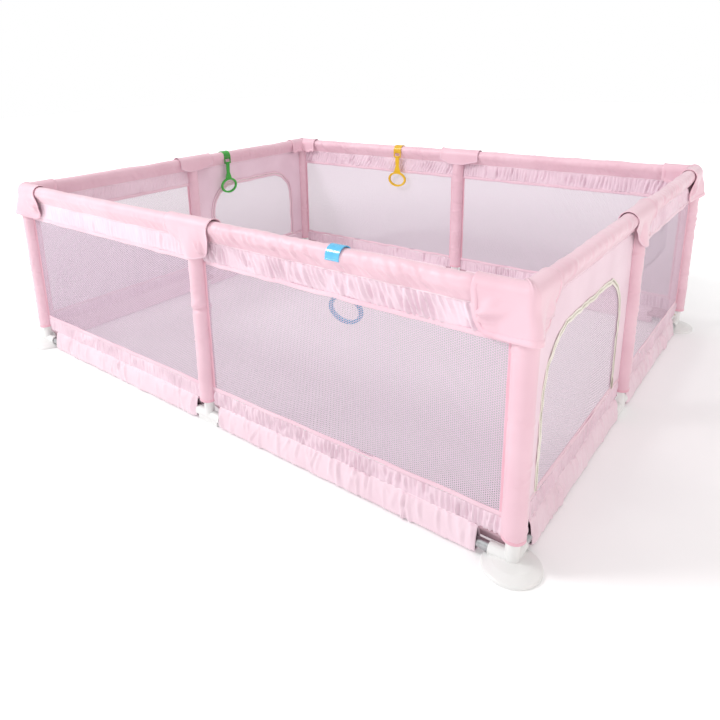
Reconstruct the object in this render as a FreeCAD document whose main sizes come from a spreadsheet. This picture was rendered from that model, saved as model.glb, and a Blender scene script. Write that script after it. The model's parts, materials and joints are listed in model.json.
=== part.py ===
import FreeCAD, Part
import os

import Sketcher
from FreeCAD import Placement, Rotation, Vector

# Playpen: a rectangular enclosure of steel tubes in plastic sockets, with padded rails and posts,
# fabric walls, two zipped doors and three pull rings.
# Frame: +X along the long side, +Y to the back, +Z up. Origin at the bottom centre. Millimetres.

DIMENSIONS = {
    "frame_length": 2040.0,         # post axis to post axis, along X
    "frame_depth": 1660.0,          # post axis to post axis, along Y
    "rail_height": 656.0,           # axis of the top rails above the floor
    "floor_tube_height": 26.0,      # axis of the bottom tubes above the floor
    "tube_diameter": 25.0,
    "tube_wall": 0.6,
    "fit_gap": 0.15,                # radial gap between a tube and its socket
    "skin_gap": 0.4,                # gap left between fabric parts that touch
    "socket_radius": 16.0,
    "corner_seat": 20.0,            # depth from the corner where a tube stops
    "mid_seat": 5.0,
    "top_socket_reach": 62.0,
    "floor_socket_reach": 54.0,
    "column_radius": 17.0,          # upright socket of a foot
    "column_top": 80.0,
    "column_seat": 42.0,            # height at which a post tube stops in its foot
    "foot_radius": 68.0,
    "foot_rim": 8.0,
    "foot_crown": 25.0,
    "cup_recess": 7.0,
    "cup_radius": 54.0,
    "cup_stud_radius": 5.0,
    "cup_stud_top": 14.0,
    "rail_cover_radius": 24.0,
    "post_cover_radius": 29.5,
    "post_cover_bottom": 84.0,
    "post_cover_top": 592.0,
    "wall_thickness": 1.6,
    "wall_top": 631.5,
    "skirt_top": 70.0,
    "skirt_shoulder": 45.0,
    "skirt_bottom": 4.0,
    "skirt_half_width": 20.0,
    "skirt_skin": 2.0,
    "skirt_corner_gap": 84.0,       # from a corner axis to the end of a skirt
    "skirt_mid_gap": 55.0,
    "door_width": 600.0,
    "door_bottom": 131.0,
    "door_top": 515.0,
    "door_corner": 150.0,
    "door_hinge_gap": 1.5,
    "zip_width": 7.6,
    "zip_thickness": 2.6,
    "slider_width": 7.0,
    "slider_length": 14.0,
    "slider_lift": 1.7,             # from the wall's mid plane to the slider's back
    "cap_inner": 25.0,
    "cap_skin": 2.8,
    "cap_reach": 112.0,
    "cap_drop": 104.0,
    "cap_inside_drop": 12.0,
    "flare": 5.5,                   # outward lean of hanging flaps, degrees
    "wrap_reach": 100.0,
    "wrap_drop": 94.0,
    "wrap_flap_half_width": 58.0,
    "clip_bore": 24.4,
    "clip_skin": 3.0,
    "clip_width": 42.0,
    "clip_cheek": 6.0,
    "clip_outer_drop": 5.0,
    "pivot_offset": 26.0,           # ring pivot, inward of the rail axis
    "pivot_drop": 32.0,             # ring pivot, below the rail axis
    "pivot_radius": 2.0,
    "eye_radius": 4.6,
    "eye_gap": 0.3,
    "strap_width": 24.0,
    "strap_foot_width": 44.0,
    "strap_length": 84.0,
    "strap_thickness": 2.6,
    "ring_width": 104.0,
    "ring_height": 76.0,
    "ring_bar": 9.0,
    "pocket_width": 315.0,
    "pocket_bottom": 425.0,
    "pocket_mouth": 550.0,
    "pocket_depth": 26.0,
    "pocket_skin": 1.5,
    "screw_height": 62.0,
    "screw_radius": 1.7,
    "screw_head_radius": 3.4,
    "screw_head": 1.5,
    "screw_length": 4.0,
}

SIDES = {"front": 0, "right": 90, "back": 180, "left": 270}
CORNERS = {"front_right": 0, "back_right": 90, "back_left": 180, "front_left": 270}

doc = FreeCAD.newDocument("Playpen")
sheet = doc.addObject("Spreadsheet::Sheet", "Dims")
for row, (alias, value) in enumerate(DIMENSIONS.items(), start=1):
    sheet.set("A%d" % row, alias)
    sheet.set("B%d" % row, str(value))
    sheet.setAlias("B%d" % row, alias)
doc.recompute()


class Size(float):
    """A length that keeps the spreadsheet formula it was worked out from."""

    def __new__(cls, value, formula):
        size = float.__new__(cls, value)
        size.formula = formula
        return size

    def joined(self, value, first, sign, second):
        return Size(value, "(%s %s %s)" % (formula_of(first), sign, formula_of(second)))

    def __add__(self, other):
        return self.joined(float(self) + float(other), self, "+", other)

    def __radd__(self, other):
        return self.joined(float(other) + float(self), other, "+", self)

    def __sub__(self, other):
        return self.joined(float(self) - float(other), self, "-", other)

    def __rsub__(self, other):
        return self.joined(float(other) - float(self), other, "-", self)

    def __mul__(self, other):
        return self.joined(float(self) * float(other), self, "*", other)

    def __rmul__(self, other):
        return self.joined(float(other) * float(self), other, "*", self)

    def __truediv__(self, other):
        return self.joined(float(self) / float(other), self, "/", other)

    def __neg__(self):
        return self * -1


def formula_of(number):
    return number.formula if isinstance(number, Size) else repr(float(number))


def dim(alias):
    """The named cell of the spreadsheet, as a Size."""
    return Size(DIMENSIONS[alias], "Dims." + alias)


def bind(item, prop, number):
    """Sets a property, through its formula where it has one."""
    if isinstance(number, Size):
        item.setExpression(prop, number.formula)
    elif "." not in prop:
        setattr(item, prop, number)
    else:
        item.setExpression(prop, repr(float(number)))


def place(item, at, turn=None):
    """Puts an object at a point whose coordinates may be Sizes, turned by a Rotation."""
    item.Placement = Placement(Vector(*[float(part) for part in at]), turn or Rotation())
    for letter, part in zip("xyz", at):
        if isinstance(part, Size):
            bind(item, "Placement.Base." + letter, part)
    return item


# --- building blocks --------------------------------------------------------------------------

ALONG = {
    "X": Rotation(Vector(0, 1, 0), 90),
    "Y": Rotation(Vector(1, 0, 0), -90),
    "Z": Rotation(),
}


def block(name, low, high):
    """A box between two corners."""
    item = doc.addObject("Part::Box", name)
    for prop, start, end in zip(("Length", "Width", "Height"), low, high):
        bind(item, prop, end - start)
    return place(item, low)


def rod(name, radius, length, at, axis):
    """A cylinder that starts at a point and runs along +X, +Y or +Z."""
    item = doc.addObject("Part::Cylinder", name)
    bind(item, "Radius", radius)
    bind(item, "Height", length)
    return place(item, at, ALONG[axis])


def fuse(name, items):
    result = doc.addObject("Part::MultiFuse", name)
    result.Shapes = items
    result.Refine = True
    return result


def cut(name, base, tool):
    result = doc.addObject("Part::Cut", name)
    result.Base = base
    result.Tool = tool
    result.Refine = True
    return result


def common(name, base, tool):
    result = doc.addObject("Part::Common", name)
    result.Base = base
    result.Tool = tool
    return result


def group(name, items):
    """Separate solids of one kind that share a node."""
    result = doc.addObject("Part::Compound", name)
    result.Links = items
    return result


def pipe(name, outer, inner, length, at, axis):
    """A hollow cylinder."""
    outside = rod(name + "_outside", outer, length, at, axis)
    inside = rod(name + "_bore", inner, length, at, axis)
    return cut(name, outside, inside)


def origin_plane(body, role):
    return [part for part in body.Origin.OriginFeatures if part.Role == role][0]


def sketch_on(body, name, role):
    sketch = body.newObject("Sketcher::SketchObject", name)
    sketch.AttachmentSupport = (origin_plane(body, role), [""])
    sketch.MapMode = "FlatFace"
    return sketch


def fix_point(sketch, geometry, end, x, y):
    """Ties one point of a sketch to its distances from the sketch's origin."""
    for kind, value in (("DistanceX", x), ("DistanceY", y)):
        number = sketch.addConstraint(Sketcher.Constraint(kind, -1, 1, geometry, end, float(value)))
        if isinstance(value, Size):
            sketch.setExpression("Constraints[%d]" % number, value.formula)


def add_polygon(sketch, points):
    """A closed outline through points whose coordinates may be Sizes."""
    corners = [Vector(float(x), float(y), 0) for x, y in points]
    first = sketch.GeometryCount
    for start, end in zip(corners, corners[1:] + corners[:1]):
        sketch.addGeometry(Part.LineSegment(start, end), False)
    count = len(corners)
    for number in range(count):
        following = first + (number + 1) % count
        sketch.addConstraint(Sketcher.Constraint("Coincident", first + number, 2, following, 1))
        fix_point(sketch, first + number, 1, points[number][0], points[number][1])


def add_circle(sketch, radius, x=0.0, y=0.0):
    centre = Vector(float(x), float(y), 0)
    circle = sketch.addGeometry(Part.Circle(centre, Vector(0, 0, 1), float(radius)), False)
    number = sketch.addConstraint(Sketcher.Constraint("Radius", circle, float(radius)))
    if isinstance(radius, Size):
        sketch.setExpression("Constraints[%d]" % number, radius.formula)
    fix_point(sketch, circle, 3, x, y)


def add_ellipse(sketch, half_width, half_height, x, y):
    """An upright ellipse whose wide axis lies across the sketch."""
    centre = Vector(float(x), float(y), 0)
    wide = Vector(float(x) + float(half_width), float(y), 0)
    tall = Vector(float(x), float(y) + float(half_height), 0)
    sketch.addGeometry(Part.Ellipse(wide, tall, centre), False)


def pad(body, sketch, length, middle=True):
    feature = body.newObject("PartDesign::Pad", sketch.Name + "_pad")
    feature.Profile = sketch
    feature.Midplane = middle
    bind(feature, "Length", length)
    return feature


def through_pocket(body, sketch):
    """A cut through everything, both ways."""
    feature = body.newObject("PartDesign::Pocket", sketch.Name + "_pocket")
    feature.Profile = sketch
    feature.Type = 1
    feature.Midplane = True
    return feature


def revolve(body, sketch):
    feature = body.newObject("PartDesign::Revolution", sketch.Name + "_turned")
    feature.Profile = sketch
    feature.ReferenceAxis = (sketch, ["V_Axis"])
    feature.Angle = 360.0
    return feature


# --- places -----------------------------------------------------------------------------------

HALF_LENGTH = dim("frame_length") / 2
HALF_DEPTH = dim("frame_depth") / 2
TUBE_RADIUS = dim("tube_diameter") / 2
SOCKET_BORE = TUBE_RADIUS + dim("fit_gap")
RAIL_HEIGHT = dim("rail_height")
FLOOR_TUBE_HEIGHT = dim("floor_tube_height")

CORNER_AT = {
    "front_right": (HALF_LENGTH, -HALF_DEPTH),
    "back_right": (HALF_LENGTH, HALF_DEPTH),
    "back_left": (-HALF_LENGTH, HALF_DEPTH),
    "front_left": (-HALF_LENGTH, -HALF_DEPTH),
}
SIDE_AT = {
    "front": (0.0, -HALF_DEPTH),
    "right": (HALF_LENGTH, 0.0),
    "back": (0.0, HALF_DEPTH),
    "left": (-HALF_LENGTH, 0.0),
}
SIDE_HALF = {"front": HALF_LENGTH, "right": HALF_DEPTH, "back": HALF_LENGTH, "left": HALF_DEPTH}
UP = Vector(0, 0, 1)


def at_corner(item, corner, height=0.0):
    """Corner parts are drawn for the front right post: arms along -X and +Y."""
    x, y = CORNER_AT[corner]
    return place(item, (x, y, height), Rotation(UP, CORNERS[corner]))


def at_side(item, side, height=0.0):
    """Side parts are drawn for the front side: the rail along X, outside at -Y."""
    x, y = SIDE_AT[side]
    return place(item, (x, y, height), Rotation(UP, SIDES[side]))


# --- frame ------------------------------------------------------------------------------------

def post_tubes(name, spots):
    """Upright steel tubes, from the feet to the top sockets."""
    length = RAIL_HEIGHT - dim("corner_seat") - dim("column_seat")
    tubes = []
    for spot, (x, y) in spots.items():
        tube = pipe("post_tube_" + spot, TUBE_RADIUS, TUBE_RADIUS - dim("tube_wall"), length,
                    (0.0, 0.0, 0.0), "Z")
        tubes.append(place(tube, (x, y, dim("column_seat"))))
    return group(name, tubes)


def side_tubes(name, side, height):
    """The two level tubes of one side, from the corner sockets to the mid socket."""
    half = SIDE_HALF[side]
    length = half - dim("corner_seat") - dim("mid_seat")
    tubes = []
    for end, start in (("low", -half + dim("corner_seat")), ("high", dim("mid_seat") + 0.0)):
        tubes.append(pipe("%s_%s" % (name, end), TUBE_RADIUS, TUBE_RADIUS - dim("tube_wall"), length,
                          (start, 0.0, 0.0), "X"))
    return at_side(group(name, tubes), side, height)


def top_corner_socket(name, corner):
    """A three-way elbow: two level arms and one that takes the post."""
    reach, seat = dim("top_socket_reach"), dim("corner_seat")
    radius = dim("socket_radius")
    depth = reach - seat
    hub = doc.addObject("Part::Sphere", name + "_hub")
    bind(hub, "Radius", radius)
    arms = fuse(name + "_arms", [
        hub,
        rod(name + "_arm_x", radius, reach, (-reach, 0.0, 0.0), "X"),
        rod(name + "_arm_y", radius, reach, (0.0, 0.0, 0.0), "Y"),
        rod(name + "_arm_z", radius, reach, (0.0, 0.0, -reach), "Z"),
    ])
    bores = fuse(name + "_bores", [
        rod(name + "_bore_x", SOCKET_BORE, depth, (-reach, 0.0, 0.0), "X"),
        rod(name + "_bore_y", SOCKET_BORE, depth, (0.0, seat, 0.0), "Y"),
        rod(name + "_bore_z", SOCKET_BORE, depth, (0.0, 0.0, -reach), "Z"),
    ])
    return at_corner(cut(name, arms, bores), corner, RAIL_HEIGHT)


def level_tee(name, reach):
    """The level part of a tee: a sleeve with a web at its middle, as (outside, bores)."""
    radius = dim("socket_radius")
    seat = dim("mid_seat")
    outside = rod(name + "_sleeve", radius, reach * 2, (-reach, 0.0, 0.0), "X")
    bores = [
        rod(name + "_bore_low", SOCKET_BORE, reach - seat, (-reach, 0.0, 0.0), "X"),
        rod(name + "_bore_high", SOCKET_BORE, reach - seat, (seat + 0.0, 0.0, 0.0), "X"),
    ]
    return outside, bores


def top_mid_socket(name, side):
    """A tee that joins two rail tubes and takes the mid post from below."""
    reach, seat = dim("top_socket_reach"), dim("corner_seat")
    sleeve, bores = level_tee(name, reach)
    stem = rod(name + "_stem", dim("socket_radius"), reach, (0.0, 0.0, -reach), "Z")
    bores.append(rod(name + "_bore_z", SOCKET_BORE, reach - seat, (0.0, 0.0, -reach), "Z"))
    return at_side(cut(name, fuse(name + "_body", [sleeve, stem]), fuse(name + "_bores", bores)),
                   side, RAIL_HEIGHT)


def corner_foot(name, corner):
    """A round domed foot with an upright column and two level arms, recessed for a suction cup."""
    body = doc.addObject("PartDesign::Body", name + "_dome")
    radius, rim, crown = dim("foot_radius"), dim("foot_rim"), dim("foot_crown")
    recess, column = dim("cup_recess"), dim("column_radius")
    lip = dim("cup_radius") + 2
    dome = sketch_on(body, name + "_profile", "XZ_Plane")
    add_polygon(dome, [
        (0.0, crown), (column + 4, crown), (radius * 0.66, crown * 0.74), (radius - 3, rim + 1),
        (radius, rim - 2), (radius, 0.0), (lip, 0.0), (lip - 4, recess), (0.0, recess),
    ])
    revolve(body, dome)
    height, reach = FLOOR_TUBE_HEIGHT, dim("floor_socket_reach")
    seat, socket = dim("corner_seat"), dim("socket_radius")
    outside = fuse(name + "_outside", [
        body,
        rod(name + "_column", column, dim("column_top") - recess, (0.0, 0.0, recess), "Z"),
        rod(name + "_arm_x", socket, reach, (-reach, 0.0, height), "X"),
        rod(name + "_arm_y", socket, reach, (0.0, 0.0, height), "Y"),
    ])
    bores = fuse(name + "_bores", [
        rod(name + "_bore_z", SOCKET_BORE, dim("column_top"), (0.0, 0.0, dim("column_seat")), "Z"),
        rod(name + "_bore_x", SOCKET_BORE, reach - seat, (-reach, 0.0, height), "X"),
        rod(name + "_bore_y", SOCKET_BORE, reach - seat, (0.0, seat, height), "Y"),
        rod(name + "_stud_hole", dim("cup_stud_radius") + 0.2, dim("cup_stud_top"),
            (0.0, 0.0, 0.5), "Z"),
        rod(name + "_screw_hole", dim("screw_radius") + 0.1, dim("screw_length") + 0.2,
            (-column, 0.0, dim("screw_height")), "X"),
    ])
    return at_corner(cut(name, outside, bores), corner)


def mid_foot(name, side):
    """A tee on a flat sole that joins two floor tubes and takes the mid post."""
    height, reach = FLOOR_TUBE_HEIGHT, dim("floor_socket_reach")
    sleeve, bores = level_tee(name, reach)
    for part in [sleeve] + bores:
        bind(part, "Placement.Base.z", height)
    radius = dim("socket_radius")
    sole = block(name + "_sole", (-reach * 0.8, -radius * 0.8, 0.0), (reach * 0.8, radius * 0.8, height))
    column = rod(name + "_column", dim("column_radius"), dim("column_top") - height,
                 (0.0, 0.0, height), "Z")
    bores.append(rod(name + "_bore_z", SOCKET_BORE, dim("column_top"),
                     (0.0, 0.0, dim("column_seat")), "Z"))
    return at_side(cut(name, fuse(name + "_body", [sleeve, sole, column]),
                       fuse(name + "_bores", bores)), side)


def suction_cup(name, corner):
    """A soft cup under a corner foot, held by a stud pressed into the foot."""
    body = doc.addObject("PartDesign::Body", name)
    profile = sketch_on(body, name + "_profile", "XZ_Plane")
    radius, stud, top = dim("cup_radius"), dim("cup_stud_radius"), dim("cup_recess") - 0.4
    add_polygon(profile, [
        (0.0, dim("cup_stud_top") - 1), (stud, dim("cup_stud_top") - 1), (stud, top),
        (radius * 0.6, top), (radius, 1.2), (radius, 0.0), (radius - 5, 0.0), (0.0, top - 3),
    ])
    revolve(body, profile)
    return at_corner(body, corner)


def column_screw(name, corner):
    """A short pan head screw in the side of a corner foot's column."""
    shank = rod(name + "_shank", dim("screw_radius"), dim("screw_length"), (0.0, 0.0, 0.0), "X")
    head = rod(name + "_head", dim("screw_head_radius"), dim("screw_head"),
               (-dim("screw_head"), 0.0, 0.0), "X")
    screw = fuse(name, [shank, head])
    carrier = place(screw, (-dim("column_radius") - 0.2, 0.0, dim("screw_height")))
    return at_corner(group(name + "_seat", [carrier]), corner)


# --- padding and fabric -----------------------------------------------------------------------

def rail_padding(name, side):
    """Foam sleeves in fabric on the two top tubes of one side."""
    half, reach = SIDE_HALF[side], dim("top_socket_reach") + dim("skin_gap")
    length = half - reach * 2
    sleeves = []
    for end, start in (("low", -half + reach), ("high", reach + 0.0)):
        sleeves.append(pipe("%s_%s" % (name, end), dim("rail_cover_radius"), SOCKET_BORE, length,
                            (start, 0.0, 0.0), "X"))
    return at_side(group(name, sleeves), side, RAIL_HEIGHT)


def post_padding(name, spots):
    """Foam sleeves in fabric on the posts."""
    length = dim("post_cover_top") - dim("post_cover_bottom")
    sleeves = []
    for spot, (x, y) in spots.items():
        sleeve = pipe("post_sleeve_" + spot, dim("post_cover_radius"), SOCKET_BORE, length,
                      (0.0, 0.0, 0.0), "Z")
        sleeves.append(place(sleeve, (x, y, dim("post_cover_bottom"))))
    return group(name, sleeves)


def panel_span(side, half_sign):
    """Start and end, along a side, of the fabric between two padded posts."""
    inset = dim("post_cover_radius") + dim("skin_gap")
    half = SIDE_HALF[side]
    if half_sign < 0:
        return -half + inset, -inset
    return inset + 0.0, half - inset


def panel_sheet(name, side, half_sign):
    """One flat fabric panel, from the skirt seam to the rail."""
    start, end = panel_span(side, half_sign)
    thick = dim("wall_thickness") / 2
    return block(name, (start, -thick, dim("skirt_top") + dim("skin_gap")),
                 (end, thick, dim("wall_top")))


def wall(name, side, half_signs):
    """The mesh panels of one side."""
    panels = [panel_sheet("%s_panel_%d" % (name, number), side, sign)
              for number, sign in enumerate(half_signs)]
    return at_side(group(name, panels), side)


def arch(name, side, inset, thickness, foot_extra=0.0):
    """A door-shaped slab: straight sides, flat top and two round upper corners."""
    middle = -SIDE_HALF[side] / 2
    half = dim("door_width") / 2 - inset
    low = dim("door_bottom") - foot_extra
    high = dim("door_top") - inset
    radius = dim("door_corner") - inset
    thick = thickness / 2
    spring = high - radius
    return fuse(name, [
        block(name + "_lower", (middle - half, -thick, low), (middle + half, thick, spring)),
        block(name + "_upper", (middle - half + radius, -thick, low),
              (middle + half - radius, thick, high)),
        rod(name + "_corner_low", radius, thickness, (middle - half + radius, -thick, spring), "Y"),
        rod(name + "_corner_high", radius, thickness, (middle + half - radius, -thick, spring), "Y"),
    ])


def door_surround(name, side):
    """The fabric panel around a door."""
    sheet_part = panel_sheet(name + "_sheet", side, -1)
    hole = arch(name + "_hole", side, 0.0, dim("wall_thickness") * 3, dim("door_hinge_gap"))
    return at_side(cut(name, sheet_part, hole), side)


def door_zip(name, side):
    """The zip chain that runs up, over and down around a door."""
    thick = dim("zip_thickness")
    outer = arch(name + "_outer", side, dim("skin_gap"), thick)
    inner = arch(name + "_inner", side, dim("skin_gap") + dim("zip_width"), thick * 2, 10.0)
    return at_side(cut(name, outer, inner), side)


def door_flap(name, side):
    """The mesh door, sewn along its bottom edge and free inside the zip."""
    inset = dim("skin_gap") * 2.5 + dim("zip_width")
    return at_side(arch(name, side, inset, dim("wall_thickness")), side)


def zip_slider(name, side):
    """The slider and its pull, parked at the foot of the zip nearer the mid post."""
    x = -SIDE_HALF[side] / 2 + dim("door_width") / 2 - dim("zip_width") / 2 - dim("skin_gap")
    low, back = dim("door_bottom") + 30, -dim("slider_lift")
    half, length = dim("slider_width") / 2, dim("slider_length")
    plate = block(name + "_plate", (x - half, back - 2, low), (x + half, back, low + length))
    crown = block(name + "_crown", (x - 1.5, back - 4, low + 3), (x + 1.5, back - 1, low + length - 3))
    pull = block(name + "_pull", (x - 3, back - 4.5, low - 22), (x + 3, back - 3, low + 6))
    return at_side(fuse(name, [plate, crown, pull]), side)


def floor_skirt(name, side):
    """The fabric sleeve of each bottom tube, flat below and narrowed to its seam above."""
    half = SIDE_HALF[side]
    wide, shoulder = dim("skirt_half_width"), dim("skirt_shoulder")
    top, low, skin = dim("skirt_top"), dim("skirt_bottom"), dim("skirt_skin")
    thick = dim("wall_thickness") / 2
    length = half - dim("skirt_corner_gap") - dim("skirt_mid_gap")
    middle = (half - dim("skirt_corner_gap") + dim("skirt_mid_gap")) / 2
    sleeves = []
    for end, centre in (("low", -middle), ("high", middle)):
        label = "%s_%s" % (name, end)
        body = doc.addObject("PartDesign::Body", label + "_solid")
        profile = sketch_on(body, label + "_profile", "YZ_Plane")
        add_polygon(profile, [(-wide, low), (wide, low), (wide, shoulder), (thick, top),
                              (-thick, top), (-wide, shoulder)])
        pad(body, profile, length)
        inside = sketch_on(body, label + "_inside", "YZ_Plane")
        add_polygon(inside, [(-wide + skin, low + skin), (wide - skin, low + skin),
                             (wide - skin, shoulder - skin), (thick, top - skin * 3),
                             (-thick, top - skin * 3), (-wide + skin, shoulder - skin)])
        through_pocket(body, inside)
        sleeves.append(place(body, (centre, 0.0, 0.0)))
    return at_side(group(name, sleeves), side)


def cap_sleeve(name, radius, reach, end):
    """Two crossing rods, one along each rail of a corner."""
    return [rod(name + "_x", radius, reach + end, (-reach, 0.0, 0.0), "X"),
            rod(name + "_y", radius, reach + end, (0.0, -end, 0.0), "Y")]


def hanging_slab(name, start, end, drop, turn):
    """A slab that hangs from the rail axis level, tipped outward at its foot by the flare angle."""
    inner, skin = dim("cap_inner"), dim("cap_skin")
    slab = doc.addObject("Part::Box", name)
    bind(slab, "Length", end - start)
    bind(slab, "Width", skin)
    bind(slab, "Height", drop)
    lean = Rotation(Vector(1, 0, 0), -DIMENSIONS["flare"])
    foot = lean.multVec(Vector(0, 0, -float(drop)))
    corner = Vector(float(start), -float(inner) - float(skin), 0) + foot
    slab.Placement = Placement(turn.multVec(corner), turn.multiply(lean))
    return slab


def corner_cap(name, corner):
    """A fabric cap over a top corner: a saddle on both rails with a flap down each outer face."""
    inner, skin, reach = dim("cap_inner"), dim("cap_skin"), dim("cap_reach")
    drop, inside = dim("cap_drop"), dim("cap_inside_drop")
    outer = inner + skin
    flaps = [
        hanging_slab(name + "_flap_x", -reach, outer + 12, drop, Rotation()),
        hanging_slab(name + "_flap_y", -(outer + 12), reach, drop, Rotation(UP, 90)),
    ]
    skin_solid = fuse(name + "_skin", cap_sleeve(name + "_outer", outer, reach, outer) + flaps)
    body = doc.addObject("PartDesign::Body", name + "_limit")
    profile = sketch_on(body, name + "_limit_profile", "XY_Plane")
    far = reach * 2
    add_polygon(profile, [(-far, -outer), (outer, -outer), (outer, far), (-far, far)])
    limit = pad(body, profile, drop + outer, middle=False)
    limit.Reversed = True
    bind(limit, "TaperAngle", dim("flare"))
    place(body, (0.0, 0.0, outer))
    hollow = fuse(name + "_hollow", cap_sleeve(name + "_inner", inner, reach + 1, inner) + [
        block(name + "_under", (-far, -20.0, -far), (20.0, far, -inside)),
    ])
    trimmed = common(name + "_trimmed", skin_solid, body)
    return at_corner(cut(name, trimmed, hollow), corner, RAIL_HEIGHT)


def mid_wrap(name, side):
    """A fabric saddle over a rail joint with a flap that hangs over the mid post."""
    inner, skin, reach = dim("cap_inner"), dim("cap_skin"), dim("wrap_reach")
    wide, inside = dim("wrap_flap_half_width"), dim("cap_inside_drop")
    outer = inner + skin
    skin_solid = fuse(name + "_skin", [
        rod(name + "_outer", outer, reach * 2, (-reach, 0.0, 0.0), "X"),
        hanging_slab(name + "_flap", -wide, wide, dim("wrap_drop"), Rotation()),
    ])
    hollow = fuse(name + "_hollow", [
        rod(name + "_inner", inner, reach * 2 + 2, (-reach - 1, 0.0, 0.0), "X"),
        block(name + "_under", (-reach * 2, -20.0, -outer * 2), (reach * 2, outer * 2, -inside)),
    ])
    return at_side(cut(name, skin_solid, hollow), side, RAIL_HEIGHT)


def storage_pocket(name, side):
    """A shallow open-topped pouch that hangs inside the mesh."""
    start = dim("post_cover_radius") + 117
    end = start + dim("pocket_width")
    low, mouth, skin = dim("pocket_bottom"), dim("pocket_mouth"), dim("pocket_skin")
    near = dim("wall_thickness") / 2 + dim("skin_gap")
    depth = dim("pocket_depth")
    pouch = cut(name + "_pouch",
                block(name + "_outside", (start, near, low), (end, near + depth, mouth)),
                block(name + "_inside", (start + skin, near + skin, low + skin),
                      (end - skin, near + depth - skin, mouth + 10)))
    back = block(name + "_back", (start, near, mouth - 20), (end, near + skin, dim("wall_top") - 20))
    return at_side(fuse(name, [pouch, back]), side)


# --- pull rings -------------------------------------------------------------------------------

def ring_clip(name, side, x):
    """A plastic band that snaps over the rail, with a pivot bar between two cheeks inside."""
    bore, skin, width = dim("clip_bore"), dim("clip_skin"), dim("clip_width")
    half, outer = width / 2, bore + skin
    offset, drop, cheek = dim("pivot_offset"), dim("pivot_drop"), dim("clip_cheek")
    band = rod(name + "_band", outer, width, (x - half, 0.0, 0.0), "X")
    lip = rod(name + "_lip", 2.4, width, (x - half, -bore - 2.0, -dim("clip_outer_drop")), "X")
    cheeks = [
        block("%s_cheek_%s" % (name, end), (start, offset - 1.6, -drop - 3.0),
              (start + cheek, offset + 1.6, 0.0))
        for end, start in (("low", x - half), ("high", x + half - cheek))
    ]
    bar = rod(name + "_bar", dim("pivot_radius"), width, (x - half, offset, -drop), "X")
    hollow = fuse(name + "_hollow", [
        rod(name + "_bore", bore, width + 2, (x - half - 1, 0.0, 0.0), "X"),
        block(name + "_mouth", (x - half - 1, -bore + 1.0, -outer * 2),
              (x + half + 1, bore - 0.5, 0.0)),
        block(name + "_outer_end", (x - half - 1, -outer * 2, -outer * 2),
              (x + half + 1, -bore + 1.5, -dim("clip_outer_drop") - 2.6)),
        block(name + "_window", (x - half + cheek, bore - 1.0, -outer * 2),
              (x + half - cheek, outer + 5.0, -14.0)),
    ])
    shell = cut(name + "_shell", fuse(name + "_solid", [band, lip] + cheeks), hollow)
    return at_side(fuse(name, [shell, bar]), side, RAIL_HEIGHT)


def pull_ring(name, side, x):
    """A soft strap with an eye on the pivot bar, widening into an oval ring."""
    body = doc.addObject("PartDesign::Body", name + "_moulding")
    eye = sketch_on(body, name + "_eye", "YZ_Plane")
    add_circle(eye, dim("eye_radius"))
    pad(body, eye, dim("strap_width"))
    bar, length = dim("ring_bar"), dim("strap_length")
    half_width, half_height = dim("ring_width") / 2, dim("ring_height") / 2
    centre = -length - half_height + bar / 2
    strap = sketch_on(body, name + "_strap", "XZ_Plane")
    top, foot = dim("strap_width") / 2, dim("strap_foot_width") / 2
    add_polygon(strap, [(-top, 0.0), (top, 0.0), (top * 0.85, -length * 0.6), (foot, -length),
                        (foot, -length - bar * 0.4), (-foot, -length - bar * 0.4), (-foot, -length),
                        (-top * 0.85, -length * 0.6)])
    pad(body, strap, dim("strap_thickness"))
    ring = sketch_on(body, name + "_oval", "XZ_Plane")
    add_ellipse(ring, half_width, half_height, 0.0, centre)
    pad(body, ring, bar)
    hole = sketch_on(body, name + "_grip", "XZ_Plane")
    add_ellipse(hole, half_width - bar, half_height - bar, 0.0, centre)
    through_pocket(body, hole)
    bore = sketch_on(body, name + "_bore", "YZ_Plane")
    add_circle(bore, dim("pivot_radius") + dim("eye_gap"))
    through_pocket(body, bore)
    carrier = place(body, (x, dim("pivot_offset"), -dim("pivot_drop")))
    return at_side(group(name, [carrier]), side, RAIL_HEIGHT)


# --- assembly ---------------------------------------------------------------------------------

RINGS = {"blue": ("front", 540.0), "yellow": ("back", 340.0), "green": ("left", -215.0)}
nodes = {}

nodes["corner_post_tubes"] = post_tubes("corner_post_tubes", CORNER_AT)
nodes["mid_post_tubes"] = post_tubes("mid_post_tubes", SIDE_AT)
nodes["corner_post_padding"] = post_padding("corner_post_padding", CORNER_AT)
nodes["mid_post_padding"] = post_padding("mid_post_padding", SIDE_AT)
for side in SIDES:
    nodes["top_rail_tubes_" + side] = side_tubes("top_rail_tubes_" + side, side, RAIL_HEIGHT)
    nodes["floor_tubes_" + side] = side_tubes("floor_tubes_" + side, side, FLOOR_TUBE_HEIGHT)
    nodes["top_mid_socket_" + side] = top_mid_socket("top_mid_socket_" + side, side)
    nodes["mid_foot_" + side] = mid_foot("mid_foot_" + side, side)
    nodes["rail_padding_" + side] = rail_padding("rail_padding_" + side, side)
    nodes["floor_skirt_" + side] = floor_skirt("floor_skirt_" + side, side)
for corner in CORNERS:
    nodes["top_corner_socket_" + corner] = top_corner_socket("top_corner_socket_" + corner, corner)
    nodes["corner_foot_" + corner] = corner_foot("corner_foot_" + corner, corner)
nodes["suction_cups"] = group("suction_cups", [suction_cup("cup_" + c, c) for c in CORNERS])
nodes["foot_screws"] = group("foot_screws", [column_screw("screw_" + c, c) for c in CORNERS])
nodes["corner_caps"] = group("corner_caps", [corner_cap("cap_" + c, c) for c in CORNERS])
nodes["mid_wraps"] = group("mid_wraps", [mid_wrap("wrap_" + s, s) for s in SIDES])
nodes["wall_front"] = wall("wall_front", "front", (-1, 1))
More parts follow.
